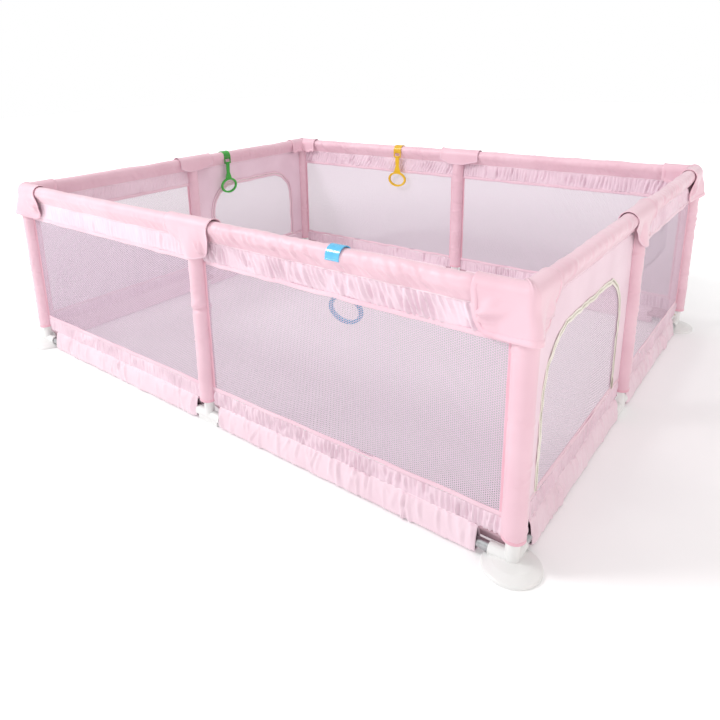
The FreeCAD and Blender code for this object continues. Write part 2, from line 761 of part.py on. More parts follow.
nodes["wall_back"] = wall("wall_back", "back", (-1, 1))
nodes["wall_right"] = wall("wall_right", "right", (1,))
nodes["wall_left"] = wall("wall_left", "left", (1,))
for side in ("right", "left"):
    nodes["door_surround_" + side] = door_surround("door_surround_" + side, side)
    nodes["door_zip_" + side] = door_zip("door_zip_" + side, side)
    nodes["door_flap_" + side] = door_flap("door_flap_" + side, side)
    nodes["zip_slider_" + side] = zip_slider("zip_slider_" + side, side)
nodes["storage_pocket"] = storage_pocket("storage_pocket", "right")
for colour, (side, x) in RINGS.items():
    nodes["ring_clip_" + colour] = ring_clip("ring_clip_" + colour, side, x)
    nodes["pull_ring_" + colour] = pull_ring("pull_ring_" + colour, side, x)

doc.recompute()
for item in doc.Objects:
    if {"Invalid", "Error"} & set(item.State):
        raise RuntimeError("%s failed: %s" % (item.Name, item.State))

os.makedirs("parts", exist_ok=True)
for name, item in nodes.items():
    if item.Shape.isNull() or not item.Shape.isValid() or not item.Shape.Solids:
        raise RuntimeError("%s has no valid solid" % name)
    if item.Label != name:
        item.Label = name
    item.Shape.exportStep("parts/%s.step" % name)
print("%d nodes" % len(nodes))
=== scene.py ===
import json
import math

import bpy
import numpy as np
from mathutils import Matrix, Vector

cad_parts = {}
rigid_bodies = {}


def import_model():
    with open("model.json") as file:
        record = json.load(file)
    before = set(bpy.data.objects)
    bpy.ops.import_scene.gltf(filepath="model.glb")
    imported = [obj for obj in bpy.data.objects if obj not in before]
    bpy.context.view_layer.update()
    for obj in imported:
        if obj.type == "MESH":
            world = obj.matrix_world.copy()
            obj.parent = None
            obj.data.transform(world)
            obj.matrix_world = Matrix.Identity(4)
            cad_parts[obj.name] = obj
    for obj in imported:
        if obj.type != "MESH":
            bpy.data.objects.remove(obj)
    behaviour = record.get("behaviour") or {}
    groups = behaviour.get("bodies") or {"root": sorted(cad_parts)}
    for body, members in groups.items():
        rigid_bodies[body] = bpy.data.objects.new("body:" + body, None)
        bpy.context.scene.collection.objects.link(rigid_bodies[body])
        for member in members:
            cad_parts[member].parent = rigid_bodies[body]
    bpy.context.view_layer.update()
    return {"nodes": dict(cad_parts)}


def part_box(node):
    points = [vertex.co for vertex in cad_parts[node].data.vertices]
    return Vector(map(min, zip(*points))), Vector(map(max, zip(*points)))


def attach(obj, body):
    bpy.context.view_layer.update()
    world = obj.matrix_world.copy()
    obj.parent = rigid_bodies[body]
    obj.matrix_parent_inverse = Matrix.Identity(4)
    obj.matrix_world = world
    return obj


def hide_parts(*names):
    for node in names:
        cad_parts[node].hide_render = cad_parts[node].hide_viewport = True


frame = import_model()

# A padded playpen: fabric covers, gathered bands and net walls around the fixed CAD frame.
# Metres. +X along the long side, +Y to the back, +Z up.

# --- measures read from the frame ---

RAIL_LOW, RAIL_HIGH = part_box("top_rail_tubes_front")
RAIL_Z = (RAIL_LOW.z + RAIL_HIGH.z) / 2
TUBE_RADIUS = (RAIL_HIGH.z - RAIL_LOW.z) / 2
POSTS_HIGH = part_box("corner_post_tubes")[1]
HALF_X = POSTS_HIGH.x - TUBE_RADIUS
HALF_Y = POSTS_HIGH.y - TUBE_RADIUS
PAD_LOW, PAD_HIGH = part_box("corner_post_padding")
POST_LOW, POST_HIGH = PAD_LOW.z, PAD_HIGH.z
POST_RADIUS = PAD_HIGH.x - HALF_X
RAIL_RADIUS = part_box("rail_padding_front")[1].z - RAIL_Z
SKIRT_LOW, SKIRT_TOP = (corner.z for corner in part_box("floor_skirt_front"))

SEAM_Z = RAIL_Z - 0.042          # where the rail cover's two edges are sewn together
BAND_LOW = 0.551                 # lower edge of the gathered band under the rail
NET_HIGH = 0.538                 # the net's upper binding ends here
NET_LOW = 0.131
LOW_BAND_TOP = 0.119
COVER_TOP = RAIL_Z - 0.024       # the post covers run up under the rail covers
COVER_INSET = 0.0014             # covers lie this far inside the CAD sleeves, folds apart
FOLD_IN, FOLD_OUT = 0.011, 0.014        # how deep a band's folds go inwards and outwards


class Side:
    """One side: s runs along it, n points out of the playpen, z up."""

    def __init__(self, name, along, out, centre, half):
        self.name, self.along, self.out, self.centre, self.half = name, along, out, centre, half

    def points(self, s, n, z):
        s, n, z = np.broadcast_arrays(np.asarray(s, float), n, z)
        x = self.centre[0] + self.along[0] * s + self.out[0] * n
        y = self.centre[1] + self.along[1] * s + self.out[1] * n
        return np.stack([x, y, z], axis=-1)

    def facing(self, count):
        """The outward direction, once for each point of a path."""
        return np.tile([*self.out, 0.0], (count, 1))


FRONT = Side("front", (1, 0), (0, -1), (0, -HALF_Y), HALF_X)
RIGHT = Side("right", (0, 1), (1, 0), (HALF_X, 0), HALF_Y)
BACK = Side("back", (-1, 0), (0, 1), (0, HALF_Y), HALF_X)
LEFT = Side("left", (0, -1), (-1, 0), (-HALF_X, 0), HALF_Y)
SIDES = (FRONT, RIGHT, BACK, LEFT)
CORNERS = {                      # a corner's place, and its turn from the front right one
    "front_right": ((HALF_X, -HALF_Y), 0),
    "back_right": ((HALF_X, HALF_Y), 90),
    "back_left": ((-HALF_X, HALF_Y), 180),
    "front_left": ((-HALF_X, -HALF_Y), 270),
}
DOOR_SIDES = (RIGHT, LEFT)
PANEL_END = POST_RADIUS - 0.004  # a wall panel ends inside the post covers


# --- materials ---

def nodes_of(name):
    material = bpy.data.materials.new(name)
    material.use_nodes = True
    tree = material.node_tree
    return material, tree, tree.nodes["Principled BSDF"]


def put(node, **values):
    """Sets sockets by name; an underscore stands for a space."""
    for name, value in values.items():
        node.inputs[name.replace("_", " ")].default_value = value


def maths(tree, operation, a, b=None):
    node = tree.nodes.new("ShaderNodeMath")
    node.operation = operation
    for socket, value in zip(node.inputs, (a, b)):
        if isinstance(value, (int, float)):
            socket.default_value = value
        elif value is not None:
            tree.links.new(value, socket)
    return node.outputs[0]


def object_place(tree):
    return tree.nodes.new("ShaderNodeTexCoord").outputs["Object"]


def noise(tree, place, scale, detail=2.0):
    node = tree.nodes.new("ShaderNodeTexNoise")
    put(node, Scale=scale, Detail=detail)
    tree.links.new(place, node.inputs["Vector"])
    return node.outputs[0]


def two_tone(tree, factor, low, high, start=0.35, end=0.65):
    ramp = tree.nodes.new("ShaderNodeValToRGB")
    for stop, place, colour in zip(ramp.color_ramp.elements, (start, end), (low, high)):
        stop.position, stop.color = place, (*colour, 1)
    tree.links.new(factor, ramp.inputs[0])
    return ramp.outputs[0]


def bump(tree, shader, height, strength, distance):
    node = tree.nodes.new("ShaderNodeBump")
    put(node, Strength=strength, Distance=distance)
    tree.links.new(height, node.inputs["Height"])
    tree.links.new(node.outputs[0], shader.inputs["Normal"])


def weave_height(tree, place, pitch):
    """Crossing threads: ridges along all three axes, so it shows on every face."""
    split = tree.nodes.new("ShaderNodeSeparateXYZ")
    tree.links.new(place, split.inputs[0])
    turn = 2 * math.pi / pitch
    total = None
    for axis in range(3):
        wave = maths(tree, "SINE", maths(tree, "MULTIPLY", split.outputs[axis], turn))
        total = wave if total is None else maths(tree, "ADD", total, wave)
    return total


def ranged(tree, value, low, high, start=0.0, end=1.0, smooth=False):
    """Maps a value's span from start to end onto low to high."""
    node = tree.nodes.new("ShaderNodeMapRange")
    if smooth:
        node.interpolation_type = "SMOOTHSTEP"
    tree.links.new(value, node.inputs[0])
    put(node, From_Min=start, From_Max=end, To_Min=low, To_Max=high)
    return node.outputs[0]


def fabric(name, low, high, roughness=0.5, sheen=0.35, weave=0.0013):
    """Satin Oxford cloth: slow colour drift, fine crumple and a thread grid."""
    material, tree, shader = nodes_of(name)
    place = object_place(tree)
    tree.links.new(two_tone(tree, noise(tree, place, 7.0), low, high),
                   shader.inputs["Base Color"])
    grain = maths(tree, "MULTIPLY", weave_height(tree, place, weave), 0.06)
    crumple = noise(tree, place, 90.0, 4.0)
    bump(tree, shader, maths(tree, "ADD", grain, crumple), 0.22, 0.0012)
    tree.links.new(ranged(tree, noise(tree, place, 30.0), roughness - 0.06, roughness + 0.06),
                   shader.inputs["Roughness"])
    put(shader, Sheen_Weight=sheen, Sheen_Roughness=0.4, Specular_IOR_Level=0.65)
    return material


def net(name, thread, hole, cover, pitch=0.0060, level=-0.60):
    """Knitted net: staggered rounded holes, each covered to the given share in the hole colour; a
    dark hole colour is painted shade of what lies behind the net.
    Three waves at 60 degrees to each other make the holes; level sets how wide they are."""
    material, tree, shader = nodes_of(name)
    split = tree.nodes.new("ShaderNodeSeparateXYZ")
    tree.links.new(object_place(tree), split.inputs[0])
    along = maths(tree, "ADD", split.outputs[0], split.outputs[1])
    wave_number = 2 * math.pi / (pitch * math.cos(math.radians(30)))
    field = None
    for degrees in (0, 60, 120):
        turn = math.radians(degrees)
        part = maths(tree, "ADD",
                     maths(tree, "MULTIPLY", along, wave_number * math.cos(turn)),
                     maths(tree, "MULTIPLY", split.outputs[2], wave_number * math.sin(turn)))
        wave = maths(tree, "COSINE", part)
        field = wave if field is None else maths(tree, "ADD", field, wave)
    open_part = ranged(tree, field, 0.0, 1.0, level - 0.35, level + 0.35, smooth=True)
    tree.links.new(two_tone(tree, open_part, thread, hole, 0.0, 1.0), shader.inputs["Base Color"])
    tree.links.new(ranged(tree, open_part, 1.0, cover), shader.inputs["Alpha"])
    bump(tree, shader, open_part, 0.4, -0.0008)
    put(shader, Roughness=0.75, Sheen_Weight=0.2)
    return material


def plastic(name, low, high, roughness, texture=900.0, coat=0.0):
    """Moulded plastic or paint: faint mottling and a fine grain of the given scale."""
    material, tree, shader = nodes_of(name)
    place = object_place(tree)
    tree.links.new(two_tone(tree, noise(tree, place, 12.0), low, high),
                   shader.inputs["Base Color"])
    bump(tree, shader, noise(tree, place, texture, 3.0), 0.12, 0.0004)
    tree.links.new(ranged(tree, noise(tree, place, 40.0, 4.0), roughness - 0.05, roughness + 0.07),
                   shader.inputs["Roughness"])
    put(shader, Coat_Weight=coat)
    return material


def steel(name):
    """Drawn, plated tube with faint cloudy marks."""
    material, tree, shader = nodes_of(name)
    place = object_place(tree)
    tone = two_tone(tree, noise(tree, place, 60.0, 6.0), (0.42, 0.43, 0.44), (0.60, 0.61, 0.62))
    tree.links.new(tone, shader.inputs["Base Color"])
    bump(tree, shader, noise(tree, place, 700.0, 4.0), 0.15, 0.0003)
    put(shader, Metallic=1.0, Roughness=0.28)
    return material


PINK = fabric("pink_satin", (0.770, 0.490, 0.570), (0.820, 0.545, 0.625), 0.46, 0.45)
PINK_THIN = fabric("pink_thin_cloth", (0.790, 0.590, 0.675), (0.850, 0.655, 0.740), 0.58, 0.4)
SKIRT_CLOTH = fabric("skirt_cloth", (0.810, 0.610, 0.685), (0.860, 0.670, 0.745), 0.50, 0.4)
BINDING = fabric("binding_tape", (0.80, 0.54, 0.63), (0.85, 0.61, 0.69), 0.55, 0.4, 0.0018)
EDGE = fabric("edge_tape", (0.78, 0.42, 0.51), (0.83, 0.48, 0.57), 0.55, 0.4, 0.0018)
CAP_TRIM = fabric("cap_trim_tape", (0.80, 0.49, 0.58), (0.86, 0.57, 0.65), 0.5, 0.4, 0.0018)
# painted shade: this lining's dark dusky pink stands for the shade behind the bottom tube at the
# skirts' ends
SHADE_DARKENED_LINING = fabric("shaded_lining", (0.50, 0.30, 0.36), (0.57, 0.36, 0.42), 0.7, 0.2)
CREAM = fabric("zip_tape_cream", (0.78, 0.74, 0.65), (0.86, 0.82, 0.74), 0.65, 0.3, 0.0016)
THREAD = fabric("stitching", (0.88, 0.68, 0.75), (0.93, 0.76, 0.82), 0.6, 0.3)
# painted shade: the near-black hole colour at 0.42 cover darkens the view through the wall net,
# standing for the shaded inside of the playpen
NET = net("wall_net", (0.80, 0.61, 0.75), (0.03, 0.01, 0.03), 0.42)
# painted shade: the dark grey hole colour darkens the view through the door net, standing for the
# shaded inside of the playpen
DOOR_NET = net("door_net", (0.72, 0.58, 0.69), (0.32, 0.24, 0.31), 0.46, 0.0050, -0.5)
POCKET_NET = net("pocket_net", (0.97, 0.97, 1.00), (0.95, 0.95, 1.00), 0.10, 0.004, -0.9)
POCKET_TRIM = fabric("pocket_trim", (0.40, 0.35, 0.42), (0.50, 0.44, 0.52), 0.6, 0.2)
WHITE = plastic("white_plastic", (0.80, 0.80, 0.79), (0.84, 0.84, 0.83), 0.32, 500.0, 0.25)
STEEL = steel("plated_steel")
TEETH = plastic("zip_teeth", (0.62, 0.60, 0.50), (0.72, 0.70, 0.60), 0.45)
ZIP_METAL = plastic("zip_slider_paint", (0.60, 0.55, 0.45), (0.70, 0.65, 0.55), 0.35)
RUBBER = plastic("clear_rubber", (0.60, 0.60, 0.60), (0.68, 0.68, 0.68), 0.30)
RING_COLOURS = {                 # the clip's two tones, then the pull ring's
    "blue": ((0.10, 0.48, 0.78), (0.14, 0.56, 0.88), (0.02, 0.56, 0.92), (0.04, 0.66, 1.0)),
    "yellow": ((0.72, 0.42, 0.010), (0.80, 0.50, 0.016), (0.72, 0.42, 0.010), (0.80, 0.50, 0.016)),
    "green": ((0.0225, 0.255, 0.02625), (0.060, 0.45, 0.055),
              (0.030, 0.34, 0.035), (0.060, 0.45, 0.055)),
}


# --- mesh helpers ---

def mesh_object(name, verts, faces, material, smooth=True):
    mesh = bpy.data.meshes.new(name)
    mesh.from_pydata(np.asarray(verts, float).tolist(), [], faces)
    mesh.validate()
    mesh.materials.append(material)
    mesh.polygons.foreach_set("use_smooth", [smooth] * len(mesh.polygons))
    piece = bpy.data.objects.new(name, mesh)
    bpy.context.scene.collection.objects.link(piece)
    return piece


def lattice(rows, cols):
    return np.meshgrid(rows, cols, indexing="ij")


def grid_faces(rows, cols, wrap=False):
    i, j = lattice(np.arange(rows - 1), np.arange(cols if wrap else cols - 1))
    following = (j + 1) % cols
    quads = np.stack([i * cols + j, i * cols + following,
                      (i + 1) * cols + following, (i + 1) * cols + j], axis=-1)
    return quads.reshape(-1, 4).tolist()


def grid(name, points, material, wrap=False):
    """A surface through rows and columns of points; wrap joins its last column to its first."""
    rows, cols = points.shape[:2]
    return mesh_object(name, points.reshape(-1, 3), grid_faces(rows, cols, wrap), material)


def thicken(piece, thickness, offset=0.0):
    solid = piece.modifiers.new("cloth_thickness", "SOLIDIFY")
    solid.thickness, solid.offset, solid.use_rim = thickness, offset, True


def soften(piece, width, segments=2, angle=40):
    bevel = piece.modifiers.new("soft_edges", "BEVEL")
    bevel.width, bevel.segments = width, segments
    bevel.limit_method, bevel.angle_limit = "ANGLE", math.radians(angle)


def unit(vectors):
    return vectors / np.maximum(np.linalg.norm(vectors, axis=-1, keepdims=True), 1e-12)


def upright(count, sign=1.0):
    """Up, or down, once for each point of a path."""
    return np.tile([0.0, 0.0, sign], (count, 1))


def lengths(path):
    """The distance of each point of a path from its first point."""
    return np.concatenate([[0], np.cumsum(np.linalg.norm(np.diff(path, axis=0), axis=1))])


def outward_of(section, probe, axis):
    """Directions square to a section's outline; at the probe they point along the plus axis."""
    tangent = np.gradient(section, axis=0)
    outward = unit(np.stack([-tangent[:, 1], tangent[:, 0]], axis=-1))
    return -outward if outward[probe, axis] < 0 else outward


def smoothstep(value, low, high):
    t = np.clip((np.asarray(value, float) - low) / (high - low), 0, 1)
    return t * t * (3 - 2 * t)


WAVES = 6


def slow_waves(u, v, length, seed):
    """Smooth seeded undulation between about -1 and 1: a sum of waves in random directions."""
    draw = np.random.default_rng(seed)
    total = np.zeros(np.broadcast(u, v).shape)
    for _ in range(WAVES):
        turn, phase = draw.uniform(0, 2 * math.pi, 2)
        reach = length * draw.uniform(0.7, 1.6)
        total += np.sin((u * math.cos(turn) + v * math.sin(turn)) * 2 * math.pi / reach + phase)
    return total / WAVES * 1.8


def folds(u, v, count, u_span, v_span, angle, spread, length, width, seed, loop=0.0):
    """Seeded creases over a cloth: each is a ridge between two shallow valleys, fading at its ends.
    Angle, in degrees, is from the u direction; loop is the u length of a closed sleeve."""
    draw = np.random.default_rng(seed)
    total = np.zeros(np.broadcast(u, v).shape)
    for _ in range(count):
        at_u, at_v = draw.uniform(*u_span), draw.uniform(*v_span)
        turn = math.radians(angle + draw.normal(0, spread))
        reach = length * draw.uniform(0.6, 1.5)
        wide = width * draw.uniform(0.6, 1.5)
        size = draw.uniform(0.4, 1.0) * draw.choice((-0.7, 1.0))
        du, dv = u - at_u, v - at_v
        if loop:
            du = (du + loop / 2) % loop - loop / 2
        along = du * math.cos(turn) + dv * math.sin(turn)
        across = (-du * math.sin(turn) + dv * math.cos(turn)) / wide
        total += size * (1 - across ** 2) * np.exp(-across ** 2 - (along / reach) ** 4)
    return total


TAPE_PROFILE = np.array([(0.10, -0.55), (0.0, 0.0), (0.10, 0.55), (0.30, 0.42), (0.50, 0.34),
                         (0.70, 0.42), (0.90, 0.55), (1.0, 0.0), (0.90, -0.55), (0.50, -0.40)])


def edge_strip(name, path, inward, normal, width, thickness, material, closed=False):
    """A folded binding tape along an edge: two raised rims with a shallow middle."""
    shape = (path[:, None, :] + inward[:, None, :] * (TAPE_PROFILE[None, :, :1] - 0.12) * width
             + normal[:, None, :] * TAPE_PROFILE[None, :, 1:] * thickness)
    if closed:
        shape = np.concatenate([shape, shape[:1]])
    return grid(name, shape, material, wrap=True)


def ride(piece, replaces=None, body="frame"):
    """Joins a piece to a body and hides the CAD node that it covers, named by replaces."""
    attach(piece, body)
    if replaces:
        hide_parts(replaces)
    return piece


# --- rails ---

def rail_section(radius, drop, steps):
    """The cover's outline round the rail: seam, outer side, over the top, inner side, seam."""
    contact = math.acos(radius / drop)
    half_turn = math.pi - contact
    angles = np.linspace(-half_turn, half_turn, steps)
    arc = np.stack([-np.sin(angles) * radius, np.cos(angles) * radius], axis=-1)
    run = np.linspace(0, 1, 8)[:-1, None]
    outer = np.array([0.0012, -drop]) * (1 - run) + arc[0] * run
    inner = np.array([-0.0012, -drop]) * (1 - run) + arc[-1] * run
    return np.concatenate([outer, arc, inner[::-1]])


def rail_cover(side, half, start, end, strength, seed):
    """One half of a side's padded rail cover, with soft pulls running up from its seam."""
    section = rail_section(RAIL_RADIUS - COVER_INSET, RAIL_Z - SEAM_Z, 27)
    outward = outward_of(section, len(section) // 2, 1)
    s, g = lattice(np.arange(start, end, 0.005), lengths(section))
    total = g[0, -1]
    near_seam = np.minimum(g, total - g)
    slope = 118 if side is FRONT else 62
    count = int(62 * (end - start))
    outer, inner = (folds(s, from_seam, count, (start, end), (0.0, 0.05), slope, 12, 0.030, 0.0068,
                          seed + number) for number, from_seam in enumerate((g, total - g)))
    pulls = 0.0037 * strength * (outer + inner)
    relief = pulls * (1 - smoothstep(near_seam, 0.055, 0.085))
    relief += 0.0014 * slow_waves(s, g, 0.16, seed + 2)
    relief += 0.0008 * strength * slow_waves(s, g, 0.035, seed + 3)
    relief = np.clip(relief, -0.007, 0.0052)
    relief *= smoothstep(near_seam, 0.0, 0.008)
    n = section[None, :, 0] + outward[None, :, 0] * relief
    z = RAIL_Z + section[None, :, 1] + outward[None, :, 1] * relief
    cover = grid("rail_cover_%s_%s" % (side.name, half), side.points(s, n, z), PINK, wrap=True)
    ride(cover, "rail_padding_" + side.name)


def piping(side, half, start, end, z, n, radius, seed, material, label):
    """A thin rolled edge sewn along a seam."""
    stations = np.arange(start, end, 0.006)
    wobble = 0.0008 * slow_waves(stations, 0, 0.09, seed)
    turn = np.linspace(0, 2 * math.pi, 8, endpoint=False)
    s, angle = lattice(stations, turn)
    points = side.points(s, n + radius * np.cos(angle),
                         z + wobble[:, None] + radius * np.sin(angle))
    piece = grid("%s_%s_%s" % (label, side.name, half), points, material, wrap=True)
    ride(piece)


# --- wall panels ---

def gathered_band(name, side, start, end, low, high, angle, strength, seed, pitch=0.0165):
    """A strip of thin cloth, longer than the run that it is sewn to, so it falls in folds. The
    gathers are pitch apart and lean at the given angle."""
    s, z = lattice(np.arange(start, end + 0.002, 0.0026), np.linspace(high, low, 15))
    free = np.sqrt(np.clip(np.sin(math.pi * (high - z) / (high - low)), 0, 1))
    run = end - start
    relief = folds(s, z, int(115 * run), (start, end), (low, high), angle, 10, (high - low) * 0.62,
                   0.0066, seed)
    relief += 0.8 * folds(s, z, int(40 * run), (start, end), (low, high), angle - 22, 16,
                          (high - low) * 0.45, 0.008, seed + 1)
    phase = 2 * math.pi * (s - (z - low) / math.tan(math.radians(angle))) / pitch
    phase = phase + 2.4 * slow_waves(s, 0.5 * z, 0.14, seed + 3)
    gathers = np.cos(phase) + 0.35 * np.cos(2 * phase + 0.8)
    gathers = gathers * (0.62 + 0.45 * slow_waves(s, z, 0.19, seed + 4))
    n = strength * (0.0036 * gathers + 0.0042 * relief) * (0.35 + 0.65 * free)
    n += 0.0030 * slow_waves(s, z, 0.12, seed + 2) * free
    limit = np.where(n < 0, FOLD_IN, FOLD_OUT)
    n = np.tanh(n / limit) * limit
    piece = grid(name, side.points(s, n, z), PINK_THIN)
    thicken(piece, 0.0007)
    ride(piece)


def level_binding(name, side, start, end, z_top, width, seed):
    """The tape along a band's edge."""
    stations = np.arange(start, end + 0.004, 0.007)
    z = z_top + 0.0012 * slow_waves(stations, 0, 0.11, seed)
    n = 0.0018 * slow_waves(stations, 0, 0.14, seed + 1)
    count = len(stations)
    tape = edge_strip(name, side.points(stations, n, z), upright(count, -1.0), side.facing(count),
                      width, 0.0032, BINDING)
    ride(tape)


def upright_binding(name, side, s, low, high, width, direction):
    """The wall's sewn edge beside a post."""
    z = np.arange(low, high, 0.01)
    path = side.points(s + 0.001 * slow_waves(z, 0, 0.1, 7), 0.0, z)
    into = np.tile([side.along[0] * direction, side.along[1] * direction, 0.0], (len(z), 1))
    tape = edge_strip(name, path, into, side.facing(len(z)), width, 0.0030, EDGE)
    ride(tape)


def net_panel(name, side, start, end, low, high, seed):
    """A net stretched between two posts, slightly slack in the middle."""
    s, z = lattice(np.linspace(start, end, 50), np.linspace(low, high, 26))
    hold = np.clip(np.sin(math.pi * (s - start) / (end - start)), 0, 1) ** 0.5
    hold = hold * np.clip(np.sin(math.pi * (z - low) / (high - low)), 0, 1) ** 0.5
    n = 0.0026 * slow_waves(s, z, 0.32, seed) * hold
    piece = grid(name, side.points(s, n, z), NET)
    ride(piece)


# --- skirts ---

SKIRT_OUTLINE = np.array([       # n and z from the seam: outer side, under the tube, inner side
    (0.0006, 0.0005), (0.0040, -0.0030), (0.0085, -0.0110), (0.0120, -0.0220),
    (0.0145, -0.0350), (0.0160, -0.0480), (0.0168, -0.0590), (0.0160, -0.0655),
    (0.0090, -0.0664), (0.0, -0.0664), (-0.0090, -0.0664), (-0.0150, -0.0655),
    (-0.0165, -0.0560), (-0.0160, -0.0400), (-0.0130, -0.0240), (-0.0070, -0.0090),
    (-0.0006, 0.0005)])


def skirt(side, half, start, end, seed):
    """The sleeve round the bottom tube, sewn shut along its top edge."""
    span = np.linspace(0, len(SKIRT_OUTLINE) - 1, 49)
    number = np.arange(len(SKIRT_OUTLINE))
    section = np.stack([np.interp(span, number, SKIRT_OUTLINE[:, k]) for k in (0, 1)], axis=-1)
    for _ in range(2):
        section[1:-1] = (section[:-2] + 2 * section[1:-1] + section[2:]) / 4
    outward = outward_of(section, 6, 0)
    girth = lengths(section)
    s, g = lattice(np.arange(start, end + 0.002, 0.004), girth)
    run = end - start
    relief = 0.0056 * folds(s, g, int(70 * run), (start, end), (0.004, 0.05), 86, 12, 0.028,
                            0.0072, seed)
    relief += 0.0034 * folds(s, g, int(45 * run), (start, end), (0.0, 0.02), 78, 16, 0.014,
                             0.0045, seed + 1)
    relief += 0.0018 * slow_waves(s, g, 0.10, seed + 2)
    relief = np.clip(relief, -0.0008, 0.010)
    relief *= smoothstep(g, 0.0, 0.006) * (1 - smoothstep(g, 0.066, 0.078))
    end_near = np.minimum(s - start, end - s)
    relief -= 0.0030 * (1 - smoothstep(end_near, 0.0, 0.014)) * smoothstep(g, 0.0, 0.03)
    n = section[None, :, 0] + outward[None, :, 0] * relief
    z = SKIRT_TOP + section[None, :, 1] + outward[None, :, 1] * relief
    z = np.maximum(z, SKIRT_LOW - 0.0012)
    piece = grid("skirt_%s_%s" % (side.name, half), side.points(s, n, z), SKIRT_CLOTH, wrap=True)
    thicken(piece, 0.0012, -1.0)
    ride(piece, "floor_skirt_" + side.name)


def inner_flap(side, name, start, end, seed):
    """A short piece of lining behind the bottom tube, between a skirt's end and a post; its dark
    colour is painted shade.
    """
    s, z = lattice(np.linspace(start, end, 14), np.linspace(SKIRT_TOP + 0.002, 0.034, 9))
    n = -0.0175 * smoothstep(SKIRT_TOP - z, 0.0, 0.03) + 0.0012 * slow_waves(s, z, 0.05, seed)
    piece = grid(name, side.points(s, n, z), SHADE_DARKENED_LINING)
    thicken(piece, 0.0008)
    ride(piece)


# --- posts ---

def post_cover(name, at, node, outward_angle, wrinkles, seed, elbow=0.0, point=0.004):
    """A padded sleeve round a post, slack enough to crease across. An elbow is the height of a
    deep crease across its front; point is how far the hem dips on the outer side."""
    around = np.linspace(0, 2 * math.pi, 48, endpoint=False)
    radius = POST_RADIUS - COVER_INSET
    loop = 2 * math.pi * radius
    angle, z = np.meshgrid(around, np.arange(POST_LOW, COVER_TOP, 0.0045))
    u = angle * radius
    relief = 0.0022 * folds(u, z, wrinkles, (0, loop), (POST_LOW + 0.02, POST_HIGH - 0.02), 3, 9,
                            0.034, 0.0055, seed, loop)
    relief += 0.0015 * folds(u, z, wrinkles // 3, (0, loop), (POST_LOW, POST_HIGH), 40, 25, 0.022,
                             0.006, seed + 1, loop)
    relief += 0.0009 * np.sin(2 * angle + 9 * z) * slow_waves(0, z, 0.22, seed + 2)
    kink = 0.0
    if elbow:
        facing = np.cos(angle - outward_angle - 0.5)
        tilt = z - elbow - 0.007 * np.sin(angle - outward_angle)
        kink = facing * (0.0042 * np.exp(-((tilt - 0.012) / 0.010) ** 2)
                         - 0.0105 * np.exp(-((tilt + 0.006) / 0.0065) ** 2))
    hem = smoothstep(z, POST_LOW, POST_LOW + 0.012)
    reach = radius + (np.clip(relief, -0.0065, 0.0036) + kink) * hem - 0.0008 * (1 - hem)
    drop = point * (0.5 + 0.5 * np.cos(angle - outward_angle))
    drop = drop * (1 - smoothstep(z, POST_LOW, POST_LOW + 0.06))
    shape = np.stack([at[0] + reach * np.cos(angle), at[1] + reach * np.sin(angle), z - drop],
                     axis=-1)
    hem_line = shape[0]
    turned_in = hem_line.copy()
    turned_in[:, 0] = at[0] + (radius - 0.0035) * np.cos(around)
    turned_in[:, 1] = at[1] + (radius - 0.0035) * np.sin(around)
    shape = np.concatenate([(turned_in + [0, 0, 0.02])[None], turned_in[None], shape])
    piece = grid(name, shape, PINK, wrap=True)
    ride(piece, node)
    out = unit(hem_line - [at[0], at[1], 0] - [0, 0, 1] * hem_line[:, 2:])
    tape = edge_strip(name + "_hem", hem_line + out * 0.0004, upright(len(around)), out, 0.009,
                      0.0016, EDGE, True)
    ride(tape)


# --- corner caps ---

CAP_RADIUS = 0.0275              # of the cloth's turn over a rail
CAP_DROP, WRAP_DROP = 0.104, 0.095      # how far the outer flaps hang below the rail's axis
INNER_DROP = 0.044
CAP_ARMS = (0.112, 0.108)        # reach along each rail, from the post's axis
ARM_ENDS = (0.42, 0.58)          # shares of a cap's length that its turn lies between
FLAP_ROWS, ARC_ROWS, INNER_ROWS = 20, 13, 8


def corner_path(n, fraction):
    """Plan of a cap at outward offset n; fraction 0..1 runs along one arm, the turn, the other."""
    reach_a, reach_b = CAP_ARMS
    arm_a, arm_b = ARM_ENDS
    radius = np.interp(n, [-0.028, 0.0, 0.028, 0.045], [0.003, 0.010, 0.021, 0.024])
    centre = n - radius
    turn = np.clip((fraction - arm_a) / (arm_b - arm_a), 0, 1) * math.pi / 2 - math.pi / 2
    x = centre + radius * np.cos(turn)
    y = -centre + radius * np.sin(turn)
    back_a = np.clip(fraction / arm_a, 0, 1)
    back_b = np.clip((1 - fraction) / (1 - arm_b), 0, 1)
    x = np.where(fraction <= arm_a, -reach_a + (centre + reach_a) * back_a, x)
    y = np.where(fraction >= arm_b, reach_b + (-centre - reach_b) * back_b, y)
    return x, y


def saddle_rows(hem_drop, inner_drop):
    """For each row from the outer hem over the rail to the inner hem: offset n, height z and how
    far down the outer flap it is. The drops vary by column."""
    level, rows = np.ones_like(hem_drop), []
    for k in range(FLAP_ROWS):
        share = 1 - k / FLAP_ROWS
        rows.append((CAP_RADIUS * level, -hem_drop * share, hem_drop * share))
    for k in range(ARC_ROWS):
        turn = math.pi * k / (ARC_ROWS - 1)
        rows.append((CAP_RADIUS * math.cos(turn) * level, CAP_RADIUS * math.sin(turn) * level,
                     0 * level))
    for k in range(1, INNER_ROWS + 1):
        rows.append((-CAP_RADIUS * level, -inner_drop * (k / INNER_ROWS), 0 * level))
    return np.array(rows).transpose(1, 0, 2)


def raised(n, z, relief):
    """A saddle's rows moved by relief, sideways on the outer flap and radially over the rail;
    also returns how much of that goes upwards."""
    rows = np.arange(len(n))[:, None]
    turn = np.clip((rows - FLAP_ROWS) / (ARC_ROWS - 1), 0, 1) * math.pi
    upwards = np.where(rows < FLAP_ROWS, 0.0, np.sin(turn))
    return n + relief * np.where(rows < FLAP_ROWS, 1.0, np.cos(turn)), z + relief * upwards, upwards


